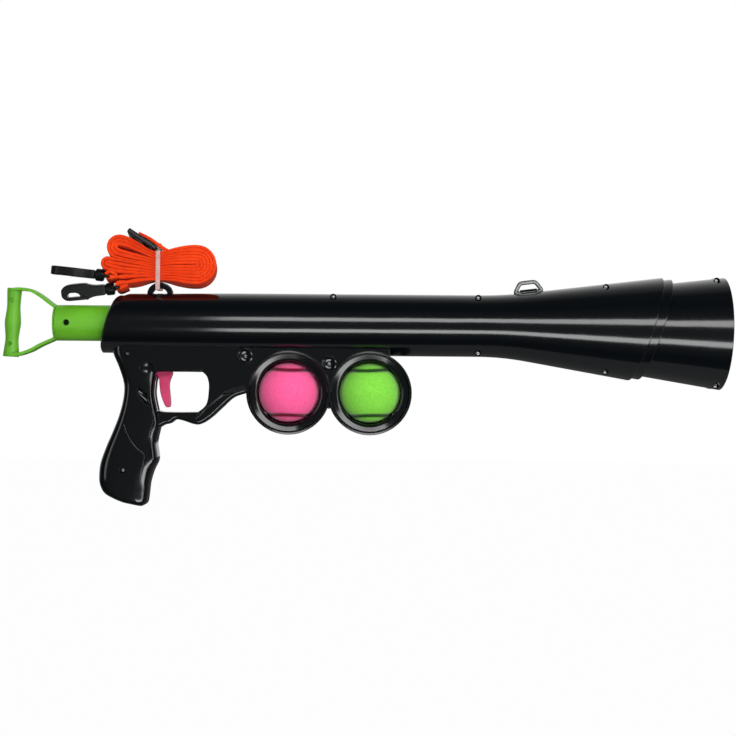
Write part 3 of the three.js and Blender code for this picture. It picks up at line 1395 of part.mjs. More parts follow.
function gateSolid() {
  const bottom = GAP - HOOK_HALF_WIDTH;
  return unite(
    pinAlongY(GATE_PIVOT_RADIUS, -HOOK_THICKNESS / 2, HOOK_THICKNESS / 2, -GATE_PIVOT_AT, gatePivotZ(), 12),
    block(-GATE_TIP_AT, -GATE_PIVOT_AT, -GATE_HALF, GATE_HALF, bottom, bottom + GATE_THICKNESS),
  );
}

function eyeSolid(hook) {
  const tilt = Math.atan2(hook.eyeDrop, EYE_REACH) - hook.pitch;
  const corners = [
    [KNOB_HALF_LENGTH - EYE_WIRE, -KNOB_HALF_LENGTH], [EYE_SHOULDER, -EYE_HALF], [EYE_REACH, -EYE_HALF],
    [EYE_REACH, EYE_HALF], [EYE_SHOULDER, EYE_HALF], [KNOB_HALF_LENGTH - EYE_WIRE, KNOB_HALF_LENGTH],
  ].map(([x, y]) => new THREE.Vector3(x, y, 0));
  const ring = wire(roundedRing(corners, EYE_WIRE, 2), EYE_WIRE, 6, true);
  const knob = latheAlongX([
    [0, -FLANGE_AT - FLANGE_LENGTH],
    [FLANGE_RADIUS, -FLANGE_AT - FLANGE_LENGTH],
    [FLANGE_RADIUS, -FLANGE_AT],
    [STEM_RADIUS, -FLANGE_AT],
    [STEM_RADIUS, -KNOB_HALF_LENGTH],
    [KNOB_RADIUS - KNOB_EDGE, -KNOB_HALF_LENGTH],
    [KNOB_RADIUS, KNOB_EDGE - KNOB_HALF_LENGTH],
    [KNOB_RADIUS, KNOB_HALF_LENGTH - KNOB_EDGE],
    [KNOB_RADIUS - KNOB_EDGE, KNOB_HALF_LENGTH],
    [0, KNOB_HALF_LENGTH],
  ], 12);
  return solidOf(knob).add(solidOf(ring.rotateY(tilt)));
}

Object.entries({ upper: UPPER_HOOK, lower: LOWER_HOOK }).forEach(([name, hook]) => {
  piece(`${name}_swivel_eye`, placed(geometryOf(eyeSolid(hook)), hook, 0), STEEL);
  piece(`${name}_hook_body`, placed(geometryOf(hookSolid()), hook, hook.roll), HOOK_BLACK);
  piece(`${name}_hook_gate`, placed(geometryOf(gateSolid()), hook, hook.roll), HOOK_BLACK);
});

export default thrower;
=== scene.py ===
# %% [markdown]
# # A dog ball thrower, dressed for its picture
# The thrower is a glossy black moulded body with a flared muzzle, a pistol grip and two rings
# that carry spare balls. A green handle pulls a spring-loaded tube out of the back.
# An orange sling strap, folded into a hank, is tied on top.
# The CAD model gives every place and size, so each piece below is modelled where it belongs.

# %% The frame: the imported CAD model
import math

import bmesh
import bpy
from mathutils import Matrix, Vector, kdtree, noise


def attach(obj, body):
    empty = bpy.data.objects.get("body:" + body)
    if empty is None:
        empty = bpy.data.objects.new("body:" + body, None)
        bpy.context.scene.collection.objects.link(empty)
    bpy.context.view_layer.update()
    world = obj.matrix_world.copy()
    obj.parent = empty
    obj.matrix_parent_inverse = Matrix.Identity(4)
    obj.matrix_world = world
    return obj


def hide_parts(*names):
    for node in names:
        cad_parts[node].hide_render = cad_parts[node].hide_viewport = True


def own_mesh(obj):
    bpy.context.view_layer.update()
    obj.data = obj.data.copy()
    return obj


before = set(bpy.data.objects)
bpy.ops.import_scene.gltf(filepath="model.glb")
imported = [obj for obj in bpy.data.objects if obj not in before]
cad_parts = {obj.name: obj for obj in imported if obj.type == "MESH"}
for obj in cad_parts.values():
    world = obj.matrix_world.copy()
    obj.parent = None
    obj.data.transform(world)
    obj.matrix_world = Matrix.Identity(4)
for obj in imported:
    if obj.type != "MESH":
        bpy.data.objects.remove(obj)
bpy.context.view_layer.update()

# %% [markdown]
# ## The camera
# The photograph looks straight at the side from about a metre and a half, with a long lens.
# The barrel leans down a little to the right in it, so the camera is rolled by the same angle.

# %% Camera
CAMERA_PLACE = (0.2453, -1.545, 0.0710)
CAMERA_LENS = 73.4
CAMERA_SENSOR = 36.0
CAMERA_ROLL = -0.0080
camera_data = bpy.data.cameras.new("camera")
camera_data.lens = CAMERA_LENS
camera_data.sensor_width = CAMERA_SENSOR
camera = bpy.data.objects.new("camera", camera_data)
camera.location = CAMERA_PLACE
camera.rotation_euler = (math.pi / 2, CAMERA_ROLL, 0)
bpy.context.scene.collection.objects.link(camera)
bpy.context.scene.camera = camera
bpy.context.scene.view_settings.view_transform = "Standard"
print("camera at", CAMERA_PLACE, "lens", CAMERA_LENS)

# %% [markdown]
# ## Working units
# The pieces are drawn in millimetres from the centre of the barrel's rear face, as on the
# drawing board. One last step scales each finished piece to metres and moves it to the frame.

# %% Units and small hand tools
MM = 0.001
GRIP_CENTRE_X = 22.0
GRIP_CENTRE_Z = -115.0
SAME_POINT = 0.0004
AXES = {"X": Vector((1, 0, 0)), "Y": Vector((0, 1, 0)), "Z": Vector((0, 0, 1))}


def pick(obj):
    """Makes obj the only selected object and the active one."""
    bpy.ops.object.select_all(action="DESELECT")
    obj.select_set(True)
    bpy.context.view_layer.objects.active = obj


def edit(obj):
    """Opens the mesh in edit mode with everything selected."""
    pick(obj)
    bpy.ops.object.mode_set(mode="EDIT")
    bpy.ops.mesh.select_all(action="SELECT")


def leave(obj):
    """Closes the mesh's seams, turns its faces outwards and leaves edit mode."""
    bpy.ops.mesh.select_all(action="SELECT")
    bpy.ops.mesh.remove_doubles(threshold=SAME_POINT)
    bpy.ops.mesh.normals_make_consistent(inside=False)
    bpy.ops.object.mode_set(mode="OBJECT")
    return obj


def modify(obj, kind, **settings):
    """Adds a modifier with its settings and applies it."""
    pick(obj)
    bpy.ops.object.modifier_add(type=kind)
    modifier = obj.modifiers[-1]
    for key, value in settings.items():
        setattr(modifier, key, value)
    bpy.ops.object.modifier_apply(modifier=modifier.name)
    return obj


def discard(obj):
    """Takes a used tool shape out of the scene."""
    bpy.data.objects.remove(obj, do_unlink=True)


def added(name, add, **settings):
    """Adds a shape by one of Blender's own commands, alone in the selection, and names it."""
    bpy.ops.object.select_all(action="DESELECT")
    add(**settings)
    obj = bpy.context.object
    obj.name = obj.data.name = name
    return obj


print("drawing unit:", MM, "m")

# %% [markdown]
# ## Three ways to make a shape
# A string of vertices is drawn out point by point. Spun round an axis it gives every turned
# shape, filled and pulled out it gives every plate, and a circle pulled from section to
# section gives the soft forms.

# %% Shape tools
def chain(name, points):
    """A string of edges through the points, drawn out one vertex at a time."""
    obj = added(name, bpy.ops.mesh.primitive_plane_add, size=1)
    bpy.ops.object.mode_set(mode="EDIT")
    bpy.ops.mesh.merge(type="CENTER")
    bpy.ops.transform.translate(value=points[0])
    for start, end in zip(points, points[1:]):
        bpy.ops.mesh.extrude_vertices_move(TRANSFORM_OT_translate={"value": end - start})
    bpy.ops.mesh.select_all(action="SELECT")
    return obj


def lathe(name, profile, axis, sides, centre=(0, 0, 0), closed=False):
    """A profile of (radius, place) points spun round an axis through the centre."""
    along = AXES[axis]
    outward = AXES["X"] if axis == "Z" else AXES["Z"]
    points = [Vector(centre) + along * place + outward * radius for radius, place in profile]
    obj = chain(name, points)
    if closed:
        bpy.ops.mesh.edge_face_add()
        bpy.ops.mesh.delete(type="ONLY_FACE")
        bpy.ops.mesh.select_all(action="SELECT")
    bpy.ops.mesh.spin(steps=sides, angle=2 * math.pi, center=centre, axis=along)
    return leave(obj)


def round_edges(obj, width, rounds, sharper_than):
    """Rounds the edges that turn by more than an angle in degrees."""
    limit = math.radians(sharper_than)
    return modify(obj, "BEVEL", width=width, segments=rounds, limit_method="ANGLE", angle_limit=limit)


def plate(name, outline, low, high, edge=0.0, rounds=3, sharper_than=40):
    """An outline in X and Z pulled out along Y, with its edges rounded."""
    obj = chain(name, [Vector((x, low, z)) for x, z in outline])
    bpy.ops.mesh.edge_face_add()
    bpy.ops.mesh.extrude_region_move(TRANSFORM_OT_translate={"value": (0, high - low, 0)})
    leave(obj)
    return round_edges(obj, edge, rounds, sharper_than) if edge else obj


def loft(name, rings):
    """A circle pulled from ring to ring: every ring is a list of the same number of points."""
    obj = added(name, bpy.ops.mesh.primitive_circle_add, vertices=len(rings[0]), fill_type="NGON")
    edit(obj)
    for count, ring in enumerate(rings):
        if count:
            bpy.ops.mesh.extrude_region_move()
        shape = bmesh.from_edit_mesh(obj.data)
        top = next(face for face in shape.faces if face.select)
        for vertex, point in zip(top.verts, ring):
            vertex.co = point
        bmesh.update_edit_mesh(obj.data)
    return leave(obj)


def block(name, low, high, edge=0.0, rounds=3):
    """A box between two corners, with rounded edges."""
    outline = [(low[0], low[2]), (high[0], low[2]), (high[0], high[2]), (low[0], high[2])]
    return plate(name, outline, low[1], high[1], edge, rounds)


print("shape tools: lathe, plate, loft, block")

# %% [markdown]
# ## Joining and cutting
# The walls of a moulding run into each other without a seam. The Boolean modifier joins closed
# solids, or cuts one out of another, and its manifold solver keeps the result closed.

# %% Booleans
def combine(obj, *tools, operation="UNION"):
    """Joins tools to obj, or cuts them out of it, one after another."""
    for tool in tools:
        modify(obj, "BOOLEAN", object=tool, operation=operation, solver="MANIFOLD")
        discard(tool)
    return obj


def cut(obj, *tools):
    """Cuts tools out of obj."""
    return combine(obj, *tools, operation="DIFFERENCE")


# %% [markdown]
# ## Soft curves and wires
# An outline read off a photograph has few points. A Catmull-Rom curve passes through all of
# them and bends softly between, so a dozen points are enough for a grip or a strap.

# %% Curves and wires
def smooth(points, steps, closed=False):
    """A soft curve through the points: Catmull-Rom, with the given steps between them."""
    points = [Vector(point) for point in points]
    count = len(points)
    curve = []
    for i in range(count if closed else count - 1):
        if closed:
            a, b, c, d = (points[(i + k - 1) % count] for k in range(4))
        else:
            a, b, c, d = (points[min(max(i + k - 1, 0), count - 1)] for k in range(4))
        for k in range(steps):
            t = k / steps
            curve.append(
                0.5 * (2 * b + (c - a) * t + (2 * a - 5 * b + 4 * c - d) * t**2
                       + (3 * b - a - 3 * c + d) * t**3)
            )
    return curve if closed else [*curve, points[-1]]


def soft(outline, steps, closed=False):
    """The same soft curve through an outline of (x, z) pairs."""
    return [tuple(point) for point in smooth(outline, steps, closed)]


def heading_at(points, i):
    """The direction of a row of points at one of them."""
    return (points[min(i + 1, len(points) - 1)] - points[max(i - 1, 0)]).normalized()


def wire(name, points, radius, closed=False, sides=16):
    """A round wire along the points: a curve with a round bevel, made a mesh."""
    curve = bpy.data.curves.new(name, "CURVE")
    curve.dimensions = "3D"
    curve.bevel_depth = radius
    curve.bevel_resolution = sides // 4
    curve.use_fill_caps = not closed
    spline = curve.splines.new("POLY")
    spline.points.add(len(points) - 1)
    for place, point in zip(spline.points, points):
        place.co = (*point, 1)
    spline.use_cyclic_u = closed
    obj = bpy.data.objects.new(name, curve)
    bpy.context.scene.collection.objects.link(obj)
    pick(obj)
    bpy.ops.object.convert(target="MESH")
    edit(obj)
    return leave(obj)


corner = soft([(0, 0), (1, 0), (1, 1)], 2)
print("a softened corner:", [(round(x, 2), round(z, 2)) for x, z in corner])

# %% [markdown]
# ## Placing shapes
# A shape is drawn where its form is simplest. It is then turned and moved in its mesh, so that
# the object's own origin stays at the barrel's rear face until the piece is finished.

# %% Placing
def turned(obj, axis, angle):
    """Turns a shape about an axis through the origin, in its mesh."""
    obj.data.transform(Matrix.Rotation(angle, 4, axis))
    return obj


def moved(obj, x, y, z):
    """Moves a shape, in its mesh."""
    obj.data.transform(Matrix.Translation((x, y, z)))
    return obj


def doubled(obj, name):
    """A copy of obj with its own mesh."""
    copy = obj.copy()
    copy.data = obj.data.copy()
    copy.name = copy.data.name = name
    bpy.context.scene.collection.objects.link(copy)
    return copy


# %% [markdown]
# ## Finishing a piece
# A finished piece is scaled to metres, set in the frame, given smooth faces and its material,
# and tied to the CAD body it moves with. It stands in for the CAD nodes it was drawn over.

# %% Finishing
SOFT_ANGLE = math.radians(28)
FLAT_FACE_WEIGHT = 80


def finish(obj, material, body, slot, *nodes, angle=SOFT_ANGLE):
    """Sets a piece in the frame and dresses it; slot, its material slot in the CAD record, is not used."""
    obj.scale = (MM, MM, MM)
    obj.location = (-GRIP_CENTRE_X * MM, 0, -GRIP_CENTRE_Z * MM)
    pick(obj)
    bpy.ops.object.transform_apply(location=True, rotation=True, scale=True)
    bpy.ops.object.shade_smooth_by_angle(angle=angle)
    modify(obj, "WEIGHTED_NORMAL", keep_sharp=True, weight=FLAT_FACE_WEIGHT)
    obj.data.materials.clear()
    obj.data.materials.append(material)
    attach(obj, body)
    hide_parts(*nodes)
    shape = bmesh.new()
    shape.from_mesh(obj.data)
    open_edges = sum(not edge.is_manifold for edge in shape.edges)
    volume = shape.calc_volume() * 1e6
    print(f"{obj.name}: {len(shape.faces)} faces, {open_edges} open edges, {volume:.2f} cm3")
    shape.free()
    return obj


# %% [markdown]
# ## Colour and node helpers
# Colours are written as they look on screen, in sRGB hex, and one function turns them to the
# linear values that the shader works in. One function adds a node with its settings and links.

# %% Colour and nodes
def colour(code):
    """sRGB hex to linear RGBA."""
    parts = [int(code[i:i + 2], 16) / 255 for i in (0, 2, 4)]
    return (*[p / 12.92 if p <= 0.04045 else ((p + 0.055) / 1.055) ** 2.4 for p in parts], 1)


def node(tree, kind, inputs=None, **settings):
    """Adds a node, sets it up, and links or fills its inputs."""
    made = tree.nodes.new(kind)
    for key, value in settings.items():
        setattr(made, key, value)
    for key, value in (inputs or {}).items():
        if isinstance(value, bpy.types.NodeSocket):
            tree.links.new(value, made.inputs[key])
        else:
            made.inputs[key].default_value = value
    return made


def material(name, code, shader):
    """A named material with its Principled shader; returns (material, tree, shader)."""
    made = bpy.data.materials.new(name)
    made.use_nodes = True
    tree = made.node_tree
    principled = tree.nodes["Principled BSDF"]
    principled.inputs["Base Color"].default_value = colour(code)
    for key, value in shader.items():
        principled.inputs[key].default_value = value
    return made, tree, principled


def ramp(tree, factor, stops):
    """A colour ramp through (place, shade) stops; a shade is a hex code or a linear grey."""
    made = node(tree, "ShaderNodeValToRGB", {"Fac": factor})
    elements = made.color_ramp.elements
    while len(elements) < len(stops):
        elements.new(0.5)
    for element, (place, shade) in zip(elements, stops):
        element.position = place
        element.color = colour(shade) if isinstance(shade, str) else (shade, shade, shade, 1)
    return made.outputs["Color"]


def grain(tree, size, detail=2.0, roughness=0.5):
    """Noise whose spots are about size metres across, on the object's own coordinates."""
    place = node(tree, "ShaderNodeTexCoord").outputs["Object"]
    made = node(tree, "ShaderNodeTexNoise",
                {"Vector": place, "Scale": 1 / size, "Detail": detail, "Roughness": roughness})
    return made.outputs["Fac"]


def spread_roughness(tree, principled, factor, low, high):
    """Lets the roughness run from low to high with a factor."""
    spread = node(tree, "ShaderNodeMapRange", {"Value": factor, "To Min": low, "To Max": high})
    tree.links.new(spread.outputs["Result"], principled.inputs["Roughness"])


def bumped(tree, principled, height, depth, normal=None):
    """Raises the surface by height times depth metres."""
    inputs = {"Height": height, "Strength": 1.0, "Distance": depth}
    if normal is not None:
        inputs["Normal"] = normal
    made = node(tree, "ShaderNodeBump", inputs)
    tree.links.new(made.outputs["Normal"], principled.inputs["Normal"])


print("half bright on screen is", round(colour("808080")[0], 3), "in linear light")

# %% [markdown]
# ## Gloss black ABS
# The body is injection moulded in a polished tool, so it is near black with sharp, bright
# reflections that waver a little where the wall shrank. Its edges are never knife sharp: a
# bevel in the shading rounds them by half a millimetre, so that they catch the light.

# %% Gloss black ABS
SHRINK_PATCH = 0.035
SHRINK_WAVE = 0.022
BEVEL_SAMPLES = 4


def moulded_abs(name, code, roughness, wobble, edge_radius, specular=0.5):
    """Moulded plastic whose polish and flatness waver by a little."""
    made, tree, principled = material(name, code, {"IOR": 1.5, "Specular IOR Level": specular})
    patches = grain(tree, SHRINK_PATCH, detail=3.0)
    spread_roughness(tree, principled, patches, roughness * 0.8, roughness * 1.25)
    rounded = node(tree, "ShaderNodeBevel", {"Radius": edge_radius}, samples=BEVEL_SAMPLES)
    waves = grain(tree, SHRINK_WAVE, detail=1.0)
    bumped(tree, principled, waves, wobble, rounded.outputs["Normal"])
    return made


gloss_black = moulded_abs("gloss_black_abs", "06090c", 0.12, 0.00010, 0.0006)
hook_black = moulded_abs("satin_black_acetal", "0a0c0e", 0.3, 0.00005, 0.0004, specular=0.3)
print("moulded blacks made")

# %% [markdown]
# ## Satin green and pink polypropylene
# The pull handle and the trigger come from a lightly etched tool: the colour is even, the
# shine is broad, and a fine grain dulls it. The real grain is finer than a pixel, so it is
# drawn about a millimetre wide.

# %% Satin polypropylene
COLOUR_CLOUD = 0.03
SATIN_GRAIN = 0.0012
SATIN_DEPTH = 0.00004
SATIN_EDGE = 0.0004


def satin_plastic(name, code, lighter, darker, roughness):
    """Etched plastic: faint clouds in the colour, a fine grain and soft edges."""
    made, tree, principled = material(name, code, {"Roughness": roughness, "IOR": 1.49})
    cloud = grain(tree, COLOUR_CLOUD, detail=2.0)
    tone = ramp(tree, cloud, [(0.3, darker), (0.7, lighter)])
    tree.links.new(tone, principled.inputs["Base Color"])
    rounded = node(tree, "ShaderNodeBevel", {"Radius": SATIN_EDGE}, samples=BEVEL_SAMPLES)
    etched = grain(tree, SATIN_GRAIN, detail=2.0)
    bumped(tree, principled, etched, SATIN_DEPTH, rounded.outputs["Normal"])
    return made


green_plastic = satin_plastic("satin_green_polypropylene", "60ac1c", "66b420", "5aa418", 0.42)
pink_plastic = satin_plastic("satin_pink_polypropylene", "cc3468", "d4396e", "c42e60", 0.4)
print("satin plastics made")

# %% [markdown]
# ## Felt
# A tennis ball is covered in needled wool and nylon felt. Its fibres are far finer than a
# pixel, so the nap is drawn about a millimetre wide: soft clumps, and a pale bloom at the rim
# from the sheen. Along the seam, where the two felt dumb-bells meet, a deep, dark line of painted shade is
# laid in its groove.

# %% Ball felt
NAP_SIZE = 0.0016
NAP_DEPTH = 0.0005
FELT_SHADER = {"Roughness": 0.95, "IOR": 1.4, "Specular IOR Level": 0.2,
               "Sheen Weight": 0.35, "Sheen Roughness": 0.4}


def felt(name, code, lighter, darker, seam_shade_code):
    """Needled felt, with painted shade along the ball's seam, laid by the attribute seam."""
    made, tree, principled = material(name, code, FELT_SHADER)
    nap = grain(tree, NAP_SIZE, detail=6.0, roughness=0.7)
    tone = ramp(tree, nap, [(0.3, darker), (0.68, lighter)])
    # The seam attribute sets how much painted shade darkens the felt along the seam's groove.
    seam = node(tree, "ShaderNodeAttribute", attribute_name="seam")
    mixed = node(tree, "ShaderNodeMix", {0: seam.outputs["Fac"], 6: tone, 7: colour(seam_shade_code)},
                 data_type="RGBA")
    tree.links.new(mixed.outputs[2], principled.inputs["Base Color"])
    bumped(tree, principled, nap, NAP_DEPTH)
    return made


# Each felt's last colour is painted shade for the seam's groove.
pink_felt = felt("pink_ball_felt", "ff5a96", "ff6ca4", "f44e8c", "6e0028")
green_felt = felt("green_ball_felt", "7dd241", "8ade50", "70c436", "17480a")
print("felts made, nap", NAP_SIZE, "m")

# %% [markdown]
# ## Orange webbing
# The sling is flat polypropylene webbing. The piece carries its own coordinates: metres along
# the strap and across it. Fine rows of picks cross it about every two millimetres, and its
# folded edges show them as small ribs.

# %% Orange webbing
PICK = 0.0019
END_SHARE = 0.8
WEAVE_DEPTH = 0.00022
WEAVE_CLOUD = 0.02
WEAVE_REACH = 1.6
WEBBING_SHADER = {"Roughness": 0.72, "IOR": 1.46, "Specular IOR Level": 0.12, "Sheen Weight": 0.04}


def maths(tree, operation, *values):
    """One step of arithmetic on sockets or numbers."""
    return node(tree, "ShaderNodeMath", dict(enumerate(values)), operation=operation).outputs[0]


def webbing(name, code, lighter, darker):
    """Woven tape: picks across it, ends along it, and a faint cloud of dye."""
    made, tree, principled = material(name, code, WEBBING_SHADER)
    place = node(tree, "ShaderNodeAttribute", attribute_name="weave")
    split = node(tree, "ShaderNodeSeparateXYZ", {"Vector": place.outputs["Vector"]})

    def wave(axis, pitch):
        return maths(tree, "SINE", maths(tree, "MULTIPLY", split.outputs[axis], 2 * math.pi / pitch))

    picks = wave("X", PICK)
    woven = maths(tree, "MULTIPLY", picks, wave("Y", PICK * END_SHARE))
    ribs = maths(tree, "MULTIPLY_ADD", picks, 0.6, woven)
    scaled = node(tree, "ShaderNodeMapRange",
                  {"Value": ribs, "From Min": -WEAVE_REACH, "From Max": WEAVE_REACH})
    height = scaled.outputs["Result"]
    blend = maths(tree, "MULTIPLY_ADD", height, 0.45, grain(tree, WEAVE_CLOUD, detail=3.0))
    tone = ramp(tree, blend, [(0.25, darker), (0.75, code), (1.0, lighter)])
    tree.links.new(tone, principled.inputs["Base Color"])
    bumped(tree, principled, height, WEAVE_DEPTH)
    return made


orange_web = webbing("orange_webbing", "ec3c0c", "f85018", "bc2a06")
print("webbing made, one pick every", PICK, "m")

# %% [markdown]
# ## Metal, rubber and the clear tie
# Screws and the sling loop are plated steel, with fine scratches in their roughness. The
# bushes are black rubber. The tie is a clear nylon strip that takes the orange behind it.

# %% Metal, rubber and clear nylon
SCRATCH_SIZE = 0.0015
SCRATCH_DEPTH = 0.00002


def plated_steel(name, code, roughness):
    """Bright or dark plating with fine scratches in its polish."""
    made, tree, principled = material(name, code, {"Metallic": 1.0})
    streaks = grain(tree, SCRATCH_SIZE, detail=4.0)
    spread_roughness(tree, principled, streaks, roughness * 0.75, roughness * 1.3)
    bumped(tree, principled, streaks, SCRATCH_DEPTH)
    return made


steel = plated_steel("zinc_plated_steel", "8c8e90", 0.3)
loop_steel = plated_steel("brushed_grey_steel", "8e9092", 0.5)
screw_black = plated_steel("black_oxide_steel", "26282a", 0.4)

rubber, rubber_tree, rubber_shader = material("black_rubber", "1c1c1c", {"Roughness": 0.8})
bumped(rubber_tree, rubber_shader, grain(rubber_tree, 0.0008), 0.00005)

NYLON_SHADER = {"Roughness": 0.3, "IOR": 1.53, "Transmission Weight": 0.5}
clear_nylon, clear_tree, clear_shader = material("clear_nylon", "f6dedd", NYLON_SHADER)
haze = ramp(clear_tree, grain(clear_tree, 0.004, detail=3.0), [(0.3, "f0b8b2"), (0.7, "f8dcd8")])
clear_tree.links.new(haze, clear_shader.inputs["Base Color"])
bumped(clear_tree, clear_shader, grain(clear_tree, 0.003), 0.0001)
print("metals, rubber and clear nylon made")

# %% [markdown]
# ## The barrel and the funnel
# Both are one long moulding: a straight tube that opens into a cone. The cone droops by a
# degree and a half, so the shape is lofted from circles along a line that bends there, with a
# soft shoulder instead of a hard corner, because the photograph's highlights bend smoothly.

# %% Barrel sizes
BARREL_LENGTH = 405.0
BARREL_RADIUS = 31.7
BARREL_REAR_RADIUS = 30.5
REAR_TAPER_LENGTH = 130.0
REAR_SLANT = math.radians(16)
REAR_EDGE = 7.0
WALL = 2.8
DROOP = math.radians(1.57)
FLARE = 0.1476
JOINT_AT = 146.8
JOINT_SLANT = math.radians(15.7)
MUZZLE_LENGTH = 225.5
SHOULDER = 26.0
SHOULDER_STEPS = 12
ROUND_SIDES = 128
BORE_SIDES = 96
FAR_AWAY = 400.0


def full_turn(steps):
    """The angles of a full turn in equal steps."""
    return [2 * math.pi * i / steps for i in range(steps)]


def circle(centre, axis_lean, radius):
    """A circle whose axis is X, turned down by axis_lean about Y."""
    upward = Vector((math.sin(axis_lean), 0, math.cos(axis_lean)))
    return [centre + upward * (radius * math.sin(angle)) + AXES["Y"] * (radius * math.cos(angle))
            for angle in full_turn(ROUND_SIDES)]


def body_circle(x):
    """The circle of the barrel or of the funnel at x, with the soft shoulder between them."""
    ahead = x - BARREL_LENGTH
    if ahead <= -SHOULDER:
        bend, rise = 0.0, 0.0
    elif ahead < SHOULDER:
        share = (ahead + SHOULDER) / (2 * SHOULDER)
        bend, rise = share * DROOP, SHOULDER * share**2
    else:
        bend, rise = DROOP, ahead
    rear = min(max(x / REAR_TAPER_LENGTH, 0), 1)
    radius = BARREL_REAR_RADIUS + rear * (BARREL_RADIUS - BARREL_REAR_RADIUS) + FLARE * rise
    centre = Vector((x, 0, -math.tan(DROOP) * rise))
    return circle(centre, bend, radius)


def half_space(name, x, lean, ahead=True):
    """A large block ahead of a plane that leans about Y, or behind it."""
    low, high = (0, FAR_AWAY) if ahead else (-FAR_AWAY, 0)
    obj = block(name, (low, -FAR_AWAY, -FAR_AWAY), (high, FAR_AWAY, FAR_AWAY))
    return moved(turned(obj, "Y", lean), x, 0, 0)


def in_muzzle(obj):
    """Takes a shape drawn along the muzzle's own axis to its place."""
    obj.data.transform(Matrix.Translation((BARREL_LENGTH, 0, 0)) @ Matrix.Rotation(DROOP, 4, "Y"))
    return obj


print(f"barrel {BARREL_LENGTH:.0f} mm, muzzle {MUZZLE_LENGTH:.1f} mm")

# %% [markdown]
# ## The barrel's outside
# The rear face is slanted and its edge is soft. A wide rounded plug, turned about the slanted
# axis, trims the loft there, so the edge keeps one radius all the way round. In front, a
# slanted plane cuts the funnel's lip, and a bevel rounds it.

# %% Barrel solid
def rear_cap():
    """The wide rounded plug that gives the slanted rear face its soft edge."""
    rim = BARREL_REAR_RADIUS / math.cos(REAR_SLANT)
    steps = 8
    profile = [(0, 0)]
    for i in range(steps + 1):
        angle = math.pi * i / (2 * steps)
        out, back = REAR_EDGE * math.sin(angle), REAR_EDGE * math.cos(angle)
        profile.append((rim - REAR_EDGE + out, REAR_EDGE - back))
    reach = 700.0
    end = REAR_EDGE + reach
    profile += [(rim + math.tan(2 * REAR_SLANT) * reach, end), (0, end)]
    return turned(lathe("rear_cap", profile, "X", ROUND_SIDES), "Y", REAR_SLANT)


def barrel_stations():
    """Places along X for the loft's circles, close together at the shoulder."""
    shoulder = [BARREL_LENGTH - SHOULDER + 2 * SHOULDER * i / SHOULDER_STEPS
                for i in range(SHOULDER_STEPS + 1)]
    return [-60.0, 0.0, REAR_TAPER_LENGTH, 250.0, *shoulder, 480.0, BARREL_LENGTH + JOINT_AT + 40]


def barrel_outer():
    """Barrel and funnel as one solid, with the soft rear edge and the slanted lip."""
    obj = loft("barrel", [body_circle(x) for x in barrel_stations()])
    combine(obj, rear_cap(), operation="INTERSECT")
    lip = half_space("joint_plane", JOINT_AT, JOINT_SLANT)
    cut(obj, in_muzzle(lip))
    return round_edges(obj, width=1.3, rounds=3, sharper_than=60)


print("loft stations:", [round(x) for x in barrel_stations()])

# %% [markdown]
# ## The bores
# Inside, the barrel is one stepped hole: a bush for the tube at the rear, room for the piston
# and its spring, and a stop ring in front. The funnel is a plain cone. Both are turned shapes.

# %% Bores
BUSH_BORE, BUSH_END = 18.9, 12
BORE_REAR_RADIUS, BORE_RADIUS = 27.6, 28.8
STOP_RADIUS, STOP_START, STOP_END = 21, 398, 409
FUNNEL_REACH = 240


def barrel_bore():
    """The bush's hole, the room for the piston, and the stop ring in front of it."""
    profile = [(0, -60), (BUSH_BORE, -60), (BUSH_BORE, BUSH_END), (BORE_REAR_RADIUS, BUSH_END),
               (BORE_RADIUS, REAR_TAPER_LENGTH), (BORE_RADIUS, STOP_START), (STOP_RADIUS, STOP_START),
               (STOP_RADIUS, STOP_END), (0, STOP_END)]
    return lathe("bore", profile, "X", BORE_SIDES)


def funnel_bore():
    """The cone inside the funnel."""
    inner = BARREL_RADIUS - WALL
    profile = [(0, 0), (inner, 0), (inner + FLARE * FUNNEL_REACH, FUNNEL_REACH), (0, FUNNEL_REACH)]
    return in_muzzle(lathe("funnel_bore", profile, "X", BORE_SIDES))


print(f"bore radius {BORE_RADIUS} mm, stop ring {STOP_RADIUS} mm")

# %% [markdown]
# ## The housing, the web and the trigger guard
# Under the barrel the moulding is flat sided. Its outlines are drawn as shares of the guard's
# length and height, as on the drawing, and pulled out across the body. The web's flat face
# ends at a crease that catches the light, and falls away to the narrower guard below it.

# %% Housing outlines
HOUSING_HALF = 20.0
HOUSING_FLOOR = -49.5
GUARD_REAR = 50.0
GUARD_REACH = 95.6
GUARD_HEIGHT = 41.1
GUARD_FLOOR = -90.6
GUARD_HALF = 11.0
GUARD_FRONT = 105.6
GUARD_INSET = 6
HOUSING_REAR, HOUSING_END = 34, 290
HOUSING_TOP, HOUSING_END_FLOOR = -22, -30.5
RING_X = (186.4, 269.3)
RING_Z = -69.6
LOWER_SHARES = [(0.04, 1.4), (0.1, 1.32), (0.16, 1.285), (0.222, 1.19), (0.3, 1.215),
                (0.415, 1.3), (0.49, 1.295), (0.595, 1.14), (0.713, 0.886), (0.835, 0.633),
                (0.98, 0.516)]
CREASE_SHARES = [(0.997, 0.321), (0.89, 0.365), (0.775, 0.465), (0.655, 0.69), (0.533, 0.945),
                 (0.45, 1.06)]
OPENING_SHARES = [(0.04, 0.02), (0.46, 0.0), (0.54, 0.05), (0.575, 0.2), (0.583, 0.42), (0.56, 0.78),
                  (0.48, 0.97), (0.42, 1.0), (0.1, 1.0), (0.04, 0.93), (0, 0.6), (-0.005, 0.35),
                  (0.01, 0.15)]
# Sections of the web: how far its edge reaches below the crease, and where in Y.
WEB_SECTIONS = [(0.0, -20.0), (3.6, -15.6), (5.0, -13.0), (5.0, 13.0), (3.6, 15.6), (0.0, 20.0)]


def guard_outline(shares, steps, closed=False):
    """A soft outline through shares of the guard's length and height."""
    points = [(GUARD_REAR + along * GUARD_REACH, HOUSING_FLOOR - down * GUARD_HEIGHT)
              for along, down in shares]
    return soft(points, steps, closed)


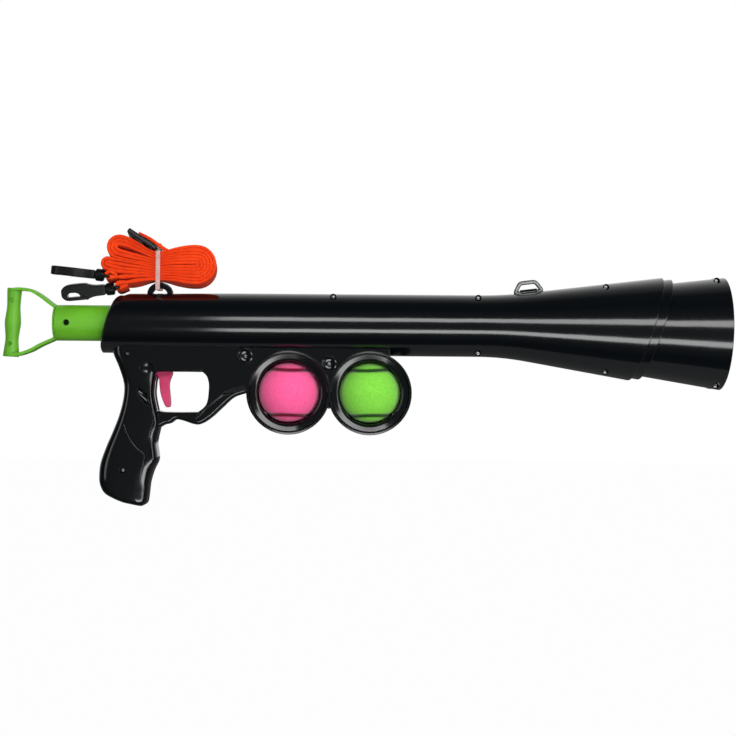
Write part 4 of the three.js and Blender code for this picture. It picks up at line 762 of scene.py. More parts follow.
def housing_solid():
    """The flat-sided box under the barrel, from the grip to the second ring."""
    outline = [(HOUSING_REAR, HOUSING_TOP), (HOUSING_REAR, HOUSING_FLOOR), (GUARD_FRONT, HOUSING_FLOOR),
               (RING_X[0], RING_Z), (RING_X[1], RING_Z), (HOUSING_END, HOUSING_END_FLOOR),
               (HOUSING_END, HOUSING_TOP)]
    return plate("housing", outline, -HOUSING_HALF, HOUSING_HALF, edge=2.2, rounds=4)


def guard_solid():
    """The narrow bar under the trigger, rising to the first ring."""
    rear = 44
    outline = [(rear, GUARD_FLOOR), (rear, GUARD_FLOOR - 17.8), *guard_outline(LOWER_SHARES, 6),
               (RING_X[0], RING_Z), (RING_X[0], HOUSING_FLOOR), (GUARD_FRONT, HOUSING_FLOOR),
               (GUARD_FRONT - GUARD_INSET, GUARD_FLOOR + GUARD_INSET)]
    return plate("guard", outline, -GUARD_HALF, GUARD_HALF, edge=3.6, rounds=5)


def web_rings():
    """Sections of the web: flat in the middle, falling away below its crease on both sides."""
    crease = [Vector(point) for point in guard_outline(CREASE_SHARES, 5)]
    top, front = HOUSING_FLOOR + GUARD_INSET, GUARD_FRONT - GUARD_INSET
    rings = []
    for reach, y in WEB_SECTIONS:
        ring = [(RING_X[0], top), (RING_X[0], crease[0].y - reach)]
        for i, point in enumerate(crease):
            along = heading_at(crease, i)
            ring.append((point.x + along.y * reach, point.y + along.x * reach))
        ring += [(front, GUARD_FLOOR + GUARD_INSET), (front, top)]
        rings.append([Vector((x, y, z)) for x, z in ring])
    return rings


print(f"housing {2 * HOUSING_HALF:.0f} mm deep, guard {2 * GUARD_HALF:.0f} mm deep")

# %% [markdown]
# ## The grip
# The grip is lofted from squarish ovals. Each row of its table gives the back edge and the
# front edge, as shares across and down, and how deep the section is.

# %% Grip
GRIP_BACK = -8.0
GRIP_WIDTH = 66.0
GRIP_TOP = -31.0
GRIP_LENGTH = 156.0
GRIP_HALF = 18.5
GRIP_SQUARENESS = 0.44
GRIP_SIDES = 64
GRIP_STEPS = 4
GRIP_STATIONS = [
    (0.212, -0.058, 0.924, -0.058, 1.08), (0.22, 0, 0.924, 0.013, 1.08),
    (0.31, 0.09, 0.924, 0.096, 1.06), (0.386, 0.195, 0.882, 0.186, 1.0),
    (0.379, 0.295, 0.867, 0.263, 0.97), (0.311, 0.41, 0.902, 0.346, 0.97),
    (0.205, 0.526, 0.955, 0.45, 0.99), (0.12, 0.61, 0.9, 0.58, 1),
    (0.03, 0.72, 0.925, 0.69, 1), (0.012, 0.808, 0.848, 0.769, 1),
    (0.03, 0.865, 0.795, 0.846, 0.99), (0.098, 0.917, 0.773, 0.923, 0.98),
    (0.242, 0.952, 0.75, 0.981, 0.95), (0.36, 0.972, 0.69, 1, 0.84),
]


def grip_edge(across, down):
    """One edge of the grip as a soft curve; across and down are columns of the table."""
    points = [(GRIP_BACK + row[across] * GRIP_WIDTH, row[4], GRIP_TOP - row[down] * GRIP_LENGTH)
              for row in GRIP_STATIONS]
    return smooth(points, GRIP_STEPS)


def grip_solid():
    """Squarish ovals between the grip's two edges, lofted."""
    rings = []
    for back, front in zip(grip_edge(0, 1), grip_edge(2, 3)):
        half = back.y * GRIP_HALF
        middle = Vector(((back.x + front.x) / 2, 0, (back.z + front.z) / 2))
        reach = Vector(((front.x - back.x) / 2, 0, (front.z - back.z) / 2))
        ring = []
        for angle in full_turn(GRIP_SIDES):
            along, deep = (math.copysign(abs(share) ** GRIP_SQUARENESS, share)
                           for share in (math.cos(angle), math.sin(angle)))
            ring.append(middle + reach * along + AXES["Y"] * (half * deep))
        rings.append(ring)
    return loft("grip", rings)


print(f"grip: {len(GRIP_STATIONS)} sections, {2 * GRIP_HALF:.0f} mm thick")

# %% [markdown]
# ## The ball rings
# Each ring is a turned moulding: a thin bright bead round its rim, a groove inside the bead,
# and a wide mouth that slopes in to the waist that the ball snaps through.

# %% Ball rings
RING_SIDES = 96
# Profiles of (radius, y) points, from the near face through to the far one.
NEAR_MOUTH = [(39.2, -19.4), (37.9, -19.05), (36.4, -18.64), (34.9, -18.23), (33.5, -17.85),
              (32.4, -17.0), (31.8, -15.2)]
FAR_MOUTH = [(31.8, 7.6), (30.5, 8.0), (30.5, 13.0), (32.6, 16.6), (35.4, 18.2), (37.9, 18.9),
             (39.2, 19.3)]
RING_LIP = [(39.5, 18.2), (39.8, 18.3), (40.0, 19.6), (40.2, 21.0), (40.6, 21.6), (42.4, 21.4),
            (42.7, 21.1), (42.8, 20.2)]
NOTCH = [(220.5, -72.0), (235.2, -72.0), (231.6, -80.5), (229.4, -85.0), (227.85, -86.3),
         (226.3, -85.0), (224.1, -80.5)]
NOTCH_HALF = 18.5


def spun_across(name, profile, place, sides=32, closed=False):
    """A (radius, y) profile spun round an axis across the body, at an (x, z) place."""
    return lathe(name, profile, "Y", sides, (place[0], 0, place[1]), closed)


def ring_solid(x):
    """A ring with the same bead on both faces."""
    near_lip = [(radius, -y) for radius, y in reversed(RING_LIP)]
    profile = [*near_lip, *NEAR_MOUTH, *FAR_MOUTH, *RING_LIP]
    return spun_across(f"ring_{x:.0f}", profile, (x, RING_Z), RING_SIDES, closed=True)


def ring_space(x):
    """The room inside a ring, open to both sides."""
    mouth, reach = NEAR_MOUTH[0][0], 30.0
    profile = [(0, -reach), (mouth, -reach), *NEAR_MOUTH, *FAR_MOUTH, (mouth, reach), (0, reach)]
    return spun_across(f"ring_space_{x:.0f}", profile, (x, RING_Z), RING_SIDES)


def notch_fill():
    """The small fillet where the two rings meet below."""
    return plate("notch_fill", NOTCH, -NOTCH_HALF, NOTCH_HALF, edge=0.8, rounds=2)


print("rings at", RING_X, "mm, waist radius", FAR_MOUTH[1][0], "mm")

# %% [markdown]
# ## Screw places
# Eleven screws draw the halves together. Each sits at the floor of a round well on the near
# side. Along the barrel and the funnel the wall is thin, so a boss carries the well there. The
# two screws in the web have a shallow dish round them, with a raised rim that catches the light
# from above, and the trigger's pivot lies under a dish too.

# %% Screw places
SCREW_TOP_Z = 28.1
SCREW_INSET = 3.9
BODY_SCREWS = [(22.0, -31.3), (18.1, -150.03), (142.3, -33.0), (227.85, -40.2), (231.3, SCREW_TOP_Z),
               (379.1, SCREW_TOP_Z), (379.1, -SCREW_TOP_Z)]
WEB_SCREWS = BODY_SCREWS[2:4]
BARREL_SCREWS = BODY_SCREWS[4:]
PIVOT = (43.5, -46.0)
BELL_INSET = 6.2
BOSS_RADIUS, BOSS_HALF = 3.4, 16.8
DISH_RADIUS, DISH_DEPTH = 6.0, 2.0
WELL = [(0, -32), (2.9, -32), (2.9, -19), (2.75, -13), (1.5, -13), (1.5, 12), (0, 12)]
RIM = [(-1.0, 1.5), (-0.6, -0.5), (0.4, -0.9), (1.6, -0.4), (2.6, 1.5)]


def muzzle_screws(s, shrink):
    """The places above and below the muzzle's axis at s along it, set in from the surface."""
    surface = BARREL_RADIUS - 0.1 + FLARE * s - shrink
    reach = surface - SCREW_INSET
    fall = s * math.tan(DROOP)
    return [(BARREL_LENGTH + s, reach - fall), (BARREL_LENGTH + s, -reach - fall)]


def rod(radius, low, high):
    """The profile of a plain round rod."""
    return [(0, low), (radius, low), (radius, high), (0, high)]


def pin(name, radius, low, high, place, sides=32):
    """A round rod across the body from low to high."""
    return spun_across(name, rod(radius, low, high), place, sides)


def boss(place):
    """The post that a screw is driven into."""
    return pin("boss", BOSS_RADIUS, -BOSS_HALF, BOSS_HALF, place)


def well(place):
    """The well for a screw's head, and the hole for its shaft."""
    return spun_across("well", WELL, place)


def dish(place):
    """A shallow dish in the housing's near face."""
    face, floor = -HOUSING_HALF, DISH_DEPTH - HOUSING_HALF
    profile = [(0, face - 6), (DISH_RADIUS, face - 6), (DISH_RADIUS, face + 0.3),
               (DISH_RADIUS - 1.2, floor - 0.5), (2.6, floor), (0, floor)]
    return spun_across("dish", profile, place, 40)


def rim(place):
    """The low raised rim round a dish."""
    profile = [(DISH_RADIUS + out, depth - HOUSING_HALF) for out, depth in RIM]
    return spun_across("rim", profile, place, 48, closed=True)


FUNNEL_SCREW_AT, BELL_SCREW_AT = 104.0, 216.7
FUNNEL_SCREWS = muzzle_screws(FUNNEL_SCREW_AT, 0.0)
BELL_SCREWS = muzzle_screws(BELL_SCREW_AT, BELL_INSET)
print(len([*BODY_SCREWS, *FUNNEL_SCREWS, *BELL_SCREWS]), "screws placed")

# %% [markdown]
# ## The moulded body
# The body is one moulding in two halves, so its shapes are joined to one solid before anything
# is cut. A cut made now goes through every shape that it meets, as a mould's own core does.

# %% Body
LOOP_X = 432.0
LOOP_Z = 35.25
LOOP_SLOPE = math.atan(FLARE) - DROOP
LUG_RADIUS, LUG_HALF = 3.2, 8.6


def at_loop(obj):
    """Takes a shape from the origin to the wire loop's place on the sloping funnel."""
    return moved(turned(obj, "Y", -LOOP_SLOPE), LOOP_X, 0, LOOP_Z)


def along_loop(name, radius, low, high):
    """A round rod along the line that the wire loop swings about."""
    return at_loop(lathe(name, rod(radius, low, high), "X", 32))


body = barrel_outer()
combine(body, housing_solid(), grip_solid(), guard_solid(), loft("web", web_rings()))
combine(body, *[ring_solid(x) for x in RING_X], notch_fill())
combine(body, along_loop("lug", LUG_RADIUS, -LUG_HALF, LUG_HALF))
combine(body, *[boss(place) for place in [*BARREL_SCREWS, *FUNNEL_SCREWS]])
combine(body, *[rim(place) for place in WEB_SCREWS])
print("body joined:", len(body.data.polygons), "faces")

# %% [markdown]
# ## Openings
# Every opening is cut by a shape of its own form: the bores by turned shapes, the slots by
# boxes, the guard's opening by a plate. Each cut is an exact solid, so the walls it leaves are
# closed and the halves can be split from them later.

# %% Body openings
SLOT_HALF = 5.2
SLOTS = {"trigger_slot": ((43.5, -89), (67.8, -40)), "sear_slot": ((49.5, -45), (74.5, -24))}
LOOP_BED, LOOP_BED_HALF, LOOP_ROOM, LOOP_ROOM_END = 2.7, 17, 3.6, 17.6
opening = guard_outline(OPENING_SHARES, 6, closed=True)
cut(body, barrel_bore(), funnel_bore(), plate("guard_opening", opening, -40, 40))
cut(body, *[ring_space(x) for x in RING_X])
for name, ((rear, floor), (front, top)) in SLOTS.items():
    cut(body, block(name, (rear, -SLOT_HALF, floor), (front, SLOT_HALF, top)))
cut(body, *[well(place) for place in [*BODY_SCREWS, *FUNNEL_SCREWS]])
cut(body, *[dish(place) for place in [*WEB_SCREWS, PIVOT]])
cut(body, along_loop("loop_bed", LOOP_BED, -LOOP_BED_HALF, LOOP_BED_HALF))
cut(body, along_loop("loop_front", LOOP_ROOM, LUG_HALF, LOOP_ROOM_END))
cut(body, along_loop("loop_rear", LOOP_ROOM, -LOOP_ROOM_END, -LUG_HALF))
print("openings cut:", len(body.data.polygons), "faces")

# %% [markdown]
# ## The thumb's recess and the panel lines
# The recess is cut by a turned shape like a flat egg. The panel lines are narrow moulded
# grooves. Each is cut by a wire that is first laid on the grip's surface, point by point, so
# that it stays as deep where the grip curves away.

# %% Thumb recess and panel lines
THUMB = (40.0, -75.5)
THUMB_LEAN = math.radians(-38)
THUMB_PROFILE = [(0, -11.5), (1.6, -10.6), (3.0, -8.6), (4.2, -5.0), (4.7, 0), (4.2, 5.0),
                 (3.0, 8.6), (1.6, 10.6), (0, 11.5)]
LINE_RADIUS = 0.75
LINES = {
    "panel_line": [(19.5, -103.5), (23.0, -112.5), (27.3, -120.5), (33.5, -127.8), (40.5, -133.6),
                   (40.2, -141), (38.2, -150), (36.2, -158.5)],
    "finger_line": [(50.4, -98.2), (48.6, -100.4), (47.0, -106), (45.2, -116.5)],
}


def on_surface(obj, points):
    """The same points, laid on the near face of obj."""
    laid = []
    for point in points:
        hit, place, _, _ = obj.ray_cast(Vector((point.x, -3 * HOUSING_HALF, point.z)), AXES["Y"])
        laid.append(Vector((point.x, place.y - 0.1 if hit else point.y, point.z)))
    return laid


thumb = turned(lathe("thumb_recess", THUMB_PROFILE, "Z", 32), "Y", THUMB_LEAN)
cut(body, moved(thumb, THUMB[0], -GRIP_HALF - 0.6, THUMB[1]))
for name, line in LINES.items():
    points = smooth([(x, -GRIP_HALF, z) for x, z in line], 5)
    cut(body, wire(name, on_surface(body, points), LINE_RADIUS))
print("recess and lines cut:", len(body.data.polygons), "faces")

# %% [markdown]
# ## The two halves
# The finished solid is copied, and a large block cuts each copy back to its own side of the
# middle plane. The blocks overlap by a hairline, which is the seam that every clamshell shows.

# %% Body halves
REACH = 2 * FAR_AWAY
SEAM_HALF = 0.15


def split_halves(obj, names, nodes):
    """Splits a solid at the middle plane and finishes its near and its far half."""
    far = doubled(obj, names[1])
    obj.name = obj.data.name = names[0]
    cut(obj, block("far_side", (-REACH, -SEAM_HALF, -REACH), (REACH, REACH, REACH)))
    cut(far, block("near_side", (-REACH, -REACH, -REACH), (REACH, SEAM_HALF, REACH)))
    for half, node_name in zip((obj, far), nodes):
        finish(half, gloss_black, "frame_body", "black_gloss", node_name)


split_halves(body, ("body_near", "body_far"), ("body_shell_near", "body_shell_far"))

# %% [markdown]
# ## The band and the bell
# A collar sits in the slanted joint, a little lower than the funnel's lip, and the bell
# flares on from it. Both are cone shells, cut by planes that lean as the joint does.

# %% Band and bell
def cone_shell(name, shrink, wall, low, high, rear, front, edge):
    """A cone's wall between two leaning planes; rear and front are places along the axis."""
    def radius(s):
        return BARREL_RADIUS + FLARE * s - shrink
    profile = [(radius(low), low), (radius(high) - edge, high),
               (radius(high) - 2 * edge, high + edge * 0.6), (radius(high) - wall + 0.3, high),
               (radius(low) - wall, low)]
    obj = in_muzzle(lathe(name, profile, "X", ROUND_SIDES, closed=True))
    cut(obj, in_muzzle(half_space("behind", rear, JOINT_SLANT, ahead=False)))
    if front:
        cut(obj, in_muzzle(half_space("beyond", front, JOINT_SLANT)))
    return obj


band = cone_shell("muzzle_collar", shrink=2.6, wall=3.2, low=100, high=225,
                  rear=JOINT_AT - 5, front=JOINT_AT + 9.5, edge=0.2)
round_edges(band, width=1.2, rounds=3, sharper_than=50)
finish(band, gloss_black, "frame_body", "black_gloss", "muzzle_band")
bell = cone_shell("bell", shrink=BELL_INSET, wall=WALL, low=100, high=MUZZLE_LENGTH - 0.6,
                  rear=JOINT_AT - 4, front=None, edge=1.0)
combine(bell, *[boss(place) for place in BELL_SCREWS])
cut(bell, *[well(place) for place in BELL_SCREWS])
split_halves(bell, ("bell_front_half", "bell_rear_half"), ("bell_near", "bell_far"))

# %% [markdown]
# ## Screws
# One pan-head screw is turned on the lathe, its cross recess cut by two crossed blades, and
# then copied to every well, each copy with its own mesh.

# %% Screws
SCREW = [(0, -15.1), (1.3, -15.05), (2.1, -14.7), (2.5, -14.0), (2.5, -13.3), (1.2, -13.3),
         (1.2, 11.2), (0.6, 11.7), (0, 11.7)]
BLADE_REACH, BLADE_HALF = 1.5, 0.28
RECESS_LEAN = 0.4


def cross_recess(obj, low, high, lean=0.0, x=0.0):
    """Cuts a cross into a screw's head with two blades that reach from low to high."""
    for angle in (0, math.pi / 2):
        blade = block("blade", (-BLADE_REACH, low, -BLADE_HALF), (BLADE_REACH, high, BLADE_HALF))
        cut(obj, moved(turned(blade, "Y", angle + lean), x, 0, 0))
    return obj


screw = cross_recess(spun_across("screw", SCREW, (0, 0)), -16, -14.2, RECESS_LEAN)
places = [*BODY_SCREWS, *FUNNEL_SCREWS, *BELL_SCREWS]
names = [f"body_screw_{i + 1}" for i in range(9)] + ["bell_screw_1", "bell_screw_2"]
for name, (x, z) in zip(names, places):
    finish(moved(doubled(screw, f"fitted_{name}"), x, 0, z), steel, "frame_body", "steel", name)
discard(screw)

# %% [markdown]
# ## The pull tube
# The tube slides out of the back. It is a turned shell with softened rims, a round hole for the
# handle's screw and a notch below that the sear catches.

# %% Pull tube
TUBE_RADIUS, TUBE_BORE = 18.4, 16.0
TUBE_REAR, TUBE_FRONT = -52.8, 382.7
TUBE_SIDES = 96
HANDLE_SCREW_X = -40.4
TUBE_PROFILE = [(TUBE_BORE, TUBE_REAR + 0.3), (16.3, TUBE_REAR), (18.1, TUBE_REAR),
                (TUBE_RADIUS, TUBE_REAR + 0.3), (TUBE_RADIUS, TUBE_FRONT), (TUBE_BORE, TUBE_FRONT)]
tube = lathe("sliding_tube", TUBE_PROFILE, "X", TUBE_SIDES, closed=True)
cut(tube, pin("handle_hole", 3.3, -20, 20, (HANDLE_SCREW_X, 0)))
cut(tube, block("notch", (217.0, -4.5, -19), (224.5, 4.5, -13.9)))
finish(tube, green_plastic, "plunger", "green", "pull_tube")

# %% [markdown]
# ## The D-handle
# The bar swells for the fingers, so it is lofted from ovals along a table of swells. The two
# arms are strips bent along their routes, and the collar that plugs into the tube is turned.

# %% D-handle
HANDLE_BACK = -98.6
HANDLE_HEIGHT = 70.6
HANDLE_TILT = math.radians(2.7)
BAR_RADIUS, BAR_FLATNESS, BAR_SIDES = 8.3, 0.98, 40
BAR_SHARES = [(-0.5, 0.9), (-0.47, 0.99), (-0.26, 0.81), (-0.12, 0.9), (0, 1), (0.12, 0.91),
              (0.24, 0.825), (0.47, 0.9), (0.5, 0.82)]
ARM_HALF, ARM_THICKNESS = 9.0, 3.0
TOP_ARM = [(-98.5, 33.0), (-96.5, 33.8), (-88.8, 34.2), (-79.3, 32.8), (-70, 27.9),
           (-60.5, 20.8), (-53.0, 15.4)]
LOWER_ARM = [(-100.5, -32.4), (-99.2, -32.8), (-91.2, -32.6), (-79.5, -28.6), (-70, -23.4),
             (-60.5, -19.0), (-53.0, -15.6)]
COLLAR = [(0, -1.8), (17.8, -1.8), (TUBE_RADIUS, -1.2), (TUBE_RADIUS, -0.2), (18.2, 0), (15.7, 0),
          (15.7, 28), (12.5, 28), (12.5, 3.2), (0, 3.2)]
COLLAR_X = TUBE_REAR - 0.3
POCKETS = [(-98.6, 22.6), (-100.2, -21.8)]


def bar_solid():
    """The bar that the hand pulls, with its finger swells."""
    rings = []
    for share, swell in soft(BAR_SHARES, 6):
        radius = swell * BAR_RADIUS
        rings.append([Vector((radius * math.cos(angle), BAR_FLATNESS * radius * math.sin(angle),
                              share * HANDLE_HEIGHT)) for angle in full_turn(BAR_SIDES)])
    bar = round_edges(loft("handle", rings), width=0.9, rounds=3, sharper_than=60)
    return moved(turned(bar, "Y", HANDLE_TILT), HANDLE_BACK, 0, 0)


def arm_solid(route):
    """A strip bent along its route in X and Z, with rounded edges."""
    curve = smooth(route, 8)
    outer, inner = [], []
    for i, point in enumerate(curve):
        along = heading_at(curve, i)
        aside = Vector((-along.y, along.x)) * (ARM_THICKNESS / 2)
        outer.append(tuple(point + aside))
        inner.append(tuple(point - aside))
    return plate("arm", [*outer, *reversed(inner)], -ARM_HALF, ARM_HALF, edge=0.9)


collar = lathe("collar", [(radius, COLLAR_X + ahead) for radius, ahead in COLLAR], "X", TUBE_SIDES)
handle = combine(bar_solid(), arm_solid(TOP_ARM), arm_solid(LOWER_ARM), collar)
cut(handle, pin("pilot", 1.5, -16, -7.8, (HANDLE_SCREW_X, 0), 16))
for place in POCKETS:
    cut(handle, pin("pocket", 2.2, -12, -4.0, place, 24))
finish(handle, green_plastic, "plunger", "green", "d_handle")

# %% [markdown]
# ## The handle's screw
# One short dark screw through the tube holds the collar. It is turned like the others, and the
# same two blades cut its cross.

# %% Handle screw
HANDLE_SCREW = [(0, -17.95), (1.6, -17.8), (2.5, -17.0), (2.5, -16.15), (1.2, -16.15),
                (1.2, -10.1), (0, -10.1)]
handle_screw = spun_across("fitted_handle_screw", HANDLE_SCREW, (HANDLE_SCREW_X, 0))
cross_recess(handle_screw, -19, -17.2, x=HANDLE_SCREW_X)
finish(handle_screw, screw_black, "plunger", "steel", "handle_screw")

# %% [markdown]
# ## The trigger
# The trigger is a smooth curved blade with a swept foot. It turns on a hub round its pin, and
# its arm reaches up inside the housing to press the sear down.

# %% Trigger
BLADE = [(45.6, -50.4), (49.6, -52.6), (52.6, -56.6), (53.1, -62), (53.9, -69), (55.4, -75.4),
         (57.6, -81.2), (59.6, -85.0), (61.6, -86.1), (63.8, -85.6), (64.7, -83.0), (64.6, -78),
         (63.9, -71), (63.3, -64.5), (63.7, -59.5), (65.4, -54.6), (66.6, -51.2), (65.0, -48.6),
         (59.5, -47.0), (53, -46.0), (49, -45)]
ARM = [(48.6, -44), (57, -31.2), (64.7, -31.2), (64.7, -27), (57, -27), (46.8, -41.6), (41, -48)]
HEEL = [(40, -46), (40, -60), (42.8, -60), (45.5, -48.8)]
LEVER_HALF = 4.5
HUB_RADIUS, HUB_BORE = 5.5, 2.3
trigger = plate("curved_trigger", soft(BLADE, 4, closed=True), -LEVER_HALF, LEVER_HALF,
                edge=1.3, rounds=4, sharper_than=50)
combine(trigger, pin("hub", HUB_RADIUS, -LEVER_HALF, LEVER_HALF, PIVOT, 48))
for name, outline in (("arm", ARM), ("heel", HEEL)):
    combine(trigger, plate(name, outline, -LEVER_HALF, LEVER_HALF, edge=0.4, rounds=2))
cut(trigger, pin("pin_hole", HUB_BORE, -6, 6, PIVOT))
finish(trigger, pink_plastic, "trigger_lever", "pink", "trigger")

# %% [markdown]
# ## The spare balls
# A tennis ball starts from a fine geodesic sphere. Its seam is one closed wave round the
# sphere. Every vertex is sunk by how near it lies to the seam, and raised by the nap of the
# felt, and it remembers its nearness so that the material can paint shade along the seam.

# %% Balls
BALL_RADIUS = 31.5
BALL_FINENESS = 7
SEAM_WAVE = 0.13
SEAM_WIDTH = 2.3
SEAM_DEPTH = 0.95
SEAM_POINTS = 360
FELT_SINK = 0.22
NAP_WAVES = ((0.9, 0.12), (2.3, 0.08))


def search_tree(points):
    """A tree that finds the nearest of the points."""
    tree = kdtree.KDTree(len(points))
    for i, point in enumerate(points):
        tree.insert(point, i)
    tree.balance()
    return tree


def seam_points():
    """The seam: one closed wave round the ball."""
    wide = 1 - SEAM_WAVE
    deep = 2 * math.sqrt(wide * SEAM_WAVE)
    turn = Matrix.Rotation(math.pi / 4, 3, "Y")
    points = []
    for t in full_turn(SEAM_POINTS):
        place = Vector((wide * math.cos(t) + SEAM_WAVE * math.cos(3 * t), deep * math.sin(2 * t),
                        wide * math.sin(t) - SEAM_WAVE * math.sin(3 * t)))
        points.append(turn @ (place.normalized() * BALL_RADIUS))
    return points


def ball_solid(name, x, tilt):
    """A ball in its ring, with its seam sunk and its felt raised."""
    obj = added(name, bpy.ops.mesh.primitive_ico_sphere_add,
                subdivisions=BALL_FINENESS, radius=BALL_RADIUS)
    tree = search_tree(seam_points())
    near = obj.data.attributes.new("seam", "FLOAT", "POINT")
    for vertex in obj.data.vertices:
        gap = tree.find(vertex.co)[2] / SEAM_WIDTH
        share = math.exp(-gap * gap)
        nap = sum(noise.noise(vertex.co * rate) * height for rate, height in NAP_WAVES)
        # This nearness is the mask for the painted shade along the seam.
        near.data[vertex.index].value = min(1.0, 2.0 * share)
        vertex.co *= 1 - (SEAM_DEPTH * share - nap * (1 - share) + FELT_SINK) / BALL_RADIUS
    return moved(turned(obj, "Y", tilt), x, 0, RING_Z)


for name, x, cover, slot_name, tilt in (("ball_pink", RING_X[0], pink_felt, "pink_felt", 0.02),
                                        ("ball_green", RING_X[1], green_felt, "green_felt", -0.03)):
    finish(ball_solid(f"felt_{name}", x, tilt), cover, f"spare_{name}", slot_name, name, angle=math.pi)

# %% [markdown]
# ## The wire loop
# In front, a bent steel wire loop swings in a lug on the funnel. Its route is four corners,
# each rounded by a short curve, and a curve with a round bevel gives the wire its thickness.

# %% Wire loop
LOOP_CORNERS = [(-14.2, 0), (14.2, 0), (8, 10.1), (-8, 10.1)]
LOOP_WIRE, LOOP_BEND = 2.15, 2.9


def rounded_corners(corners, radius, steps):
    """A closed route through the corners, each rounded by a short curve."""
    points = []
    for i, corner in enumerate(corners):
        before, after = corners[i - 1], corners[(i + 1) % len(corners)]
        start = corner + (before - corner).normalized() * radius
        end = corner + (after - corner).normalized() * radius
        for k in range(steps + 1):
            t = k / steps
            points.append(start * (1 - t) ** 2 + corner * (2 * t * (1 - t)) + end * t**2)
    return points


loop_route = rounded_corners([Vector((x, 0, z)) for x, z in LOOP_CORNERS], LOOP_BEND, 6)
loop = at_loop(wire("bent_wire_loop", loop_route, LOOP_WIRE, closed=True, sides=24))
finish(loop, loop_steel, "sling_loop", "steel", "front_sling_loop", angle=math.pi)

# %% [markdown]
# ## The moulded arch
# Behind, an arch moulded with the barrel stands on it, and the strap's tie passes under it. It
# is a plate between two half ovals that share their base.

# %% Moulded arch
ARCH_X = 53.0
ARCH_BASE = 30.89
ARCH_OUTER = (13.3, 11.3)
ARCH_INNER = (7.1, 5.1)
ARCH_FOOT, ARCH_DEPTH = 1.8, 3
ARCH_STEPS = 32


def half_round(half, height):
    """Half an oval over the arch's base, from its front foot to its rear one."""
    turns = [math.pi * i / ARCH_STEPS for i in range(ARCH_STEPS + 1)]
    oval = [(half * math.cos(turn), height * math.sin(turn)) for turn in turns]
    return [(half, -ARCH_FOOT), *oval, (-half, -ARCH_FOOT)]


arch_outline = [*half_round(*ARCH_OUTER), *reversed(half_round(*ARCH_INNER))]
arch_outline = [(ARCH_X + x, ARCH_BASE + z) for x, z in arch_outline]
arch = plate("moulded_arch", arch_outline, -ARCH_DEPTH, ARCH_DEPTH, edge=1.1)
finish(arch, gloss_black, "frame_body", "black_gloss", "rear_sling_loop")

# %% [markdown]
# ## The strap
# One flat strap is folded back and forth in twelve runs, pinched by the tie at its waist. The
# runs join in a round bulb in front and in two lobes behind, and the strap's two ends wrap the
# eyes of the hooks. The route follows the CAD model's, drawn a little closer to the photograph:
# each run passes its own place at the waist, and a smooth bend leads it into the next turn.

# %% Strap sizes
WAIST_X = 51.0
WAIST_Z = 58.0
WAIST_PITCH = 2.5
BULB_X = 90.8
BULB_PITCH = 3.36
LOBE_PITCH = 3.7
RUNS = 12
RUN_ORDER = (1, 12, 7, 6, 3, 10, 9, 4, 5, 8, 11, 2)
UPPER_LOBE = (Vector((11.2, 75.6)), 3.4, math.radians(12))
LOWER_LOBE = (Vector((-0.4, 58.8)), 1.6, math.radians(14))
EYE_REACH = 10.5
EYE_WRAP = 2.7
EYE_LEAN = 0.35
UPPER_HOOK = {"x": -9.3, "z": 49.5, "pitch": math.radians(5.8), "roll": math.pi / 2, "drop": 2.0}
LOWER_HOOK = {"x": 1.5, "z": 35.2, "pitch": math.radians(-5.8), "roll": 0.21, "drop": -1.3}
RIGHT = Vector((1, 0))
LEFT = Vector((-1, 0))


def eye_bar(hook):
    """The middle of the bar that the strap's end wraps."""
    drop = math.atan2(hook["drop"], EYE_REACH)
    return Vector((hook["x"] + EYE_REACH * math.cos(drop), hook["z"] - EYE_REACH * math.sin(drop)))


def waist_point(run):
    """Where a run passes the waist; runs are counted from the lowest."""
    return Vector((WAIST_X, WAIST_Z + (run - (RUNS + 1) / 2) * WAIST_PITCH))


def bend(start, heading, end, arrival, steps=18):
    """A smooth bend from one place and heading to another (Hermite)."""
    reach = (end - start).length
    points = []
    for i in range(steps + 1):
        t = i / steps
        points.append(start * ((1 + 2 * t) * (1 - t) ** 2) + heading * (reach * t * (1 - t) ** 2)
                      + end * (t * t * (3 - 2 * t)) + arrival * (reach * t * t * (t - 1)))
    return points


print(f"waist {RUNS * WAIST_PITCH:.0f} mm high")

# %% [markdown]
# ## Turns and ends
# The strap turns back in half circles. In the front bulb they share one centre, and in each
# rear lobe they share another. At both ends the strap wraps the bar of a hook's eye.

# %% Turns and ends
def arc(centre, start, heading, radius, turn, steps):
    """Part of a circle, from the side named start, setting out along heading."""
    points = []
    for i in range(steps + 1):
        angle = turn * i / steps
        points.append(centre + start * (radius * math.cos(angle)) + heading * (radius * math.sin(angle)))
    return points


def turn_at(centre, heading, up, radius):
    """The half circle in which one run turns back into another."""
    start = Vector((-heading.y, heading.x)) * up
    return arc(centre, start, heading, radius, math.pi, 28)


def join_of(run, after, going_right):
    """The turn between two runs: in the front bulb, or in one of the rear lobes."""
    if going_right:
        shell = RUNS / 2 - min(run, after) + 0.5
        up = 1 if run > after else -1
        return turn_at(Vector((BULB_X, WAIST_Z)), RIGHT, up, shell * BULB_PITCH)
    centre, hole, lean = UPPER_LOBE if max(run, after) > RUNS / 2 else LOWER_LOBE
    shell = (abs(run - after) - 1) / 2
    heading = Vector((-math.cos(lean), math.sin(lean)))
    return turn_at(centre, heading, -1 if run > after else 1, hole + shell * LOBE_PITCH)


def eye_end(eye, side):
    """The strap's end: round the eye's bar and a little way back."""
    wrap = arc(eye, Vector((0, side)), LEFT, EYE_WRAP, math.pi + EYE_LEAN, 16)
    tail = Vector((math.cos(EYE_LEAN), side * math.sin(EYE_LEAN)))
    return [*wrap, *[wrap[-1] + tail * reach for reach in (2, 4, 6, 8)]]


print("lower eye at", [round(place, 1) for place in eye_bar(LOWER_HOOK)])

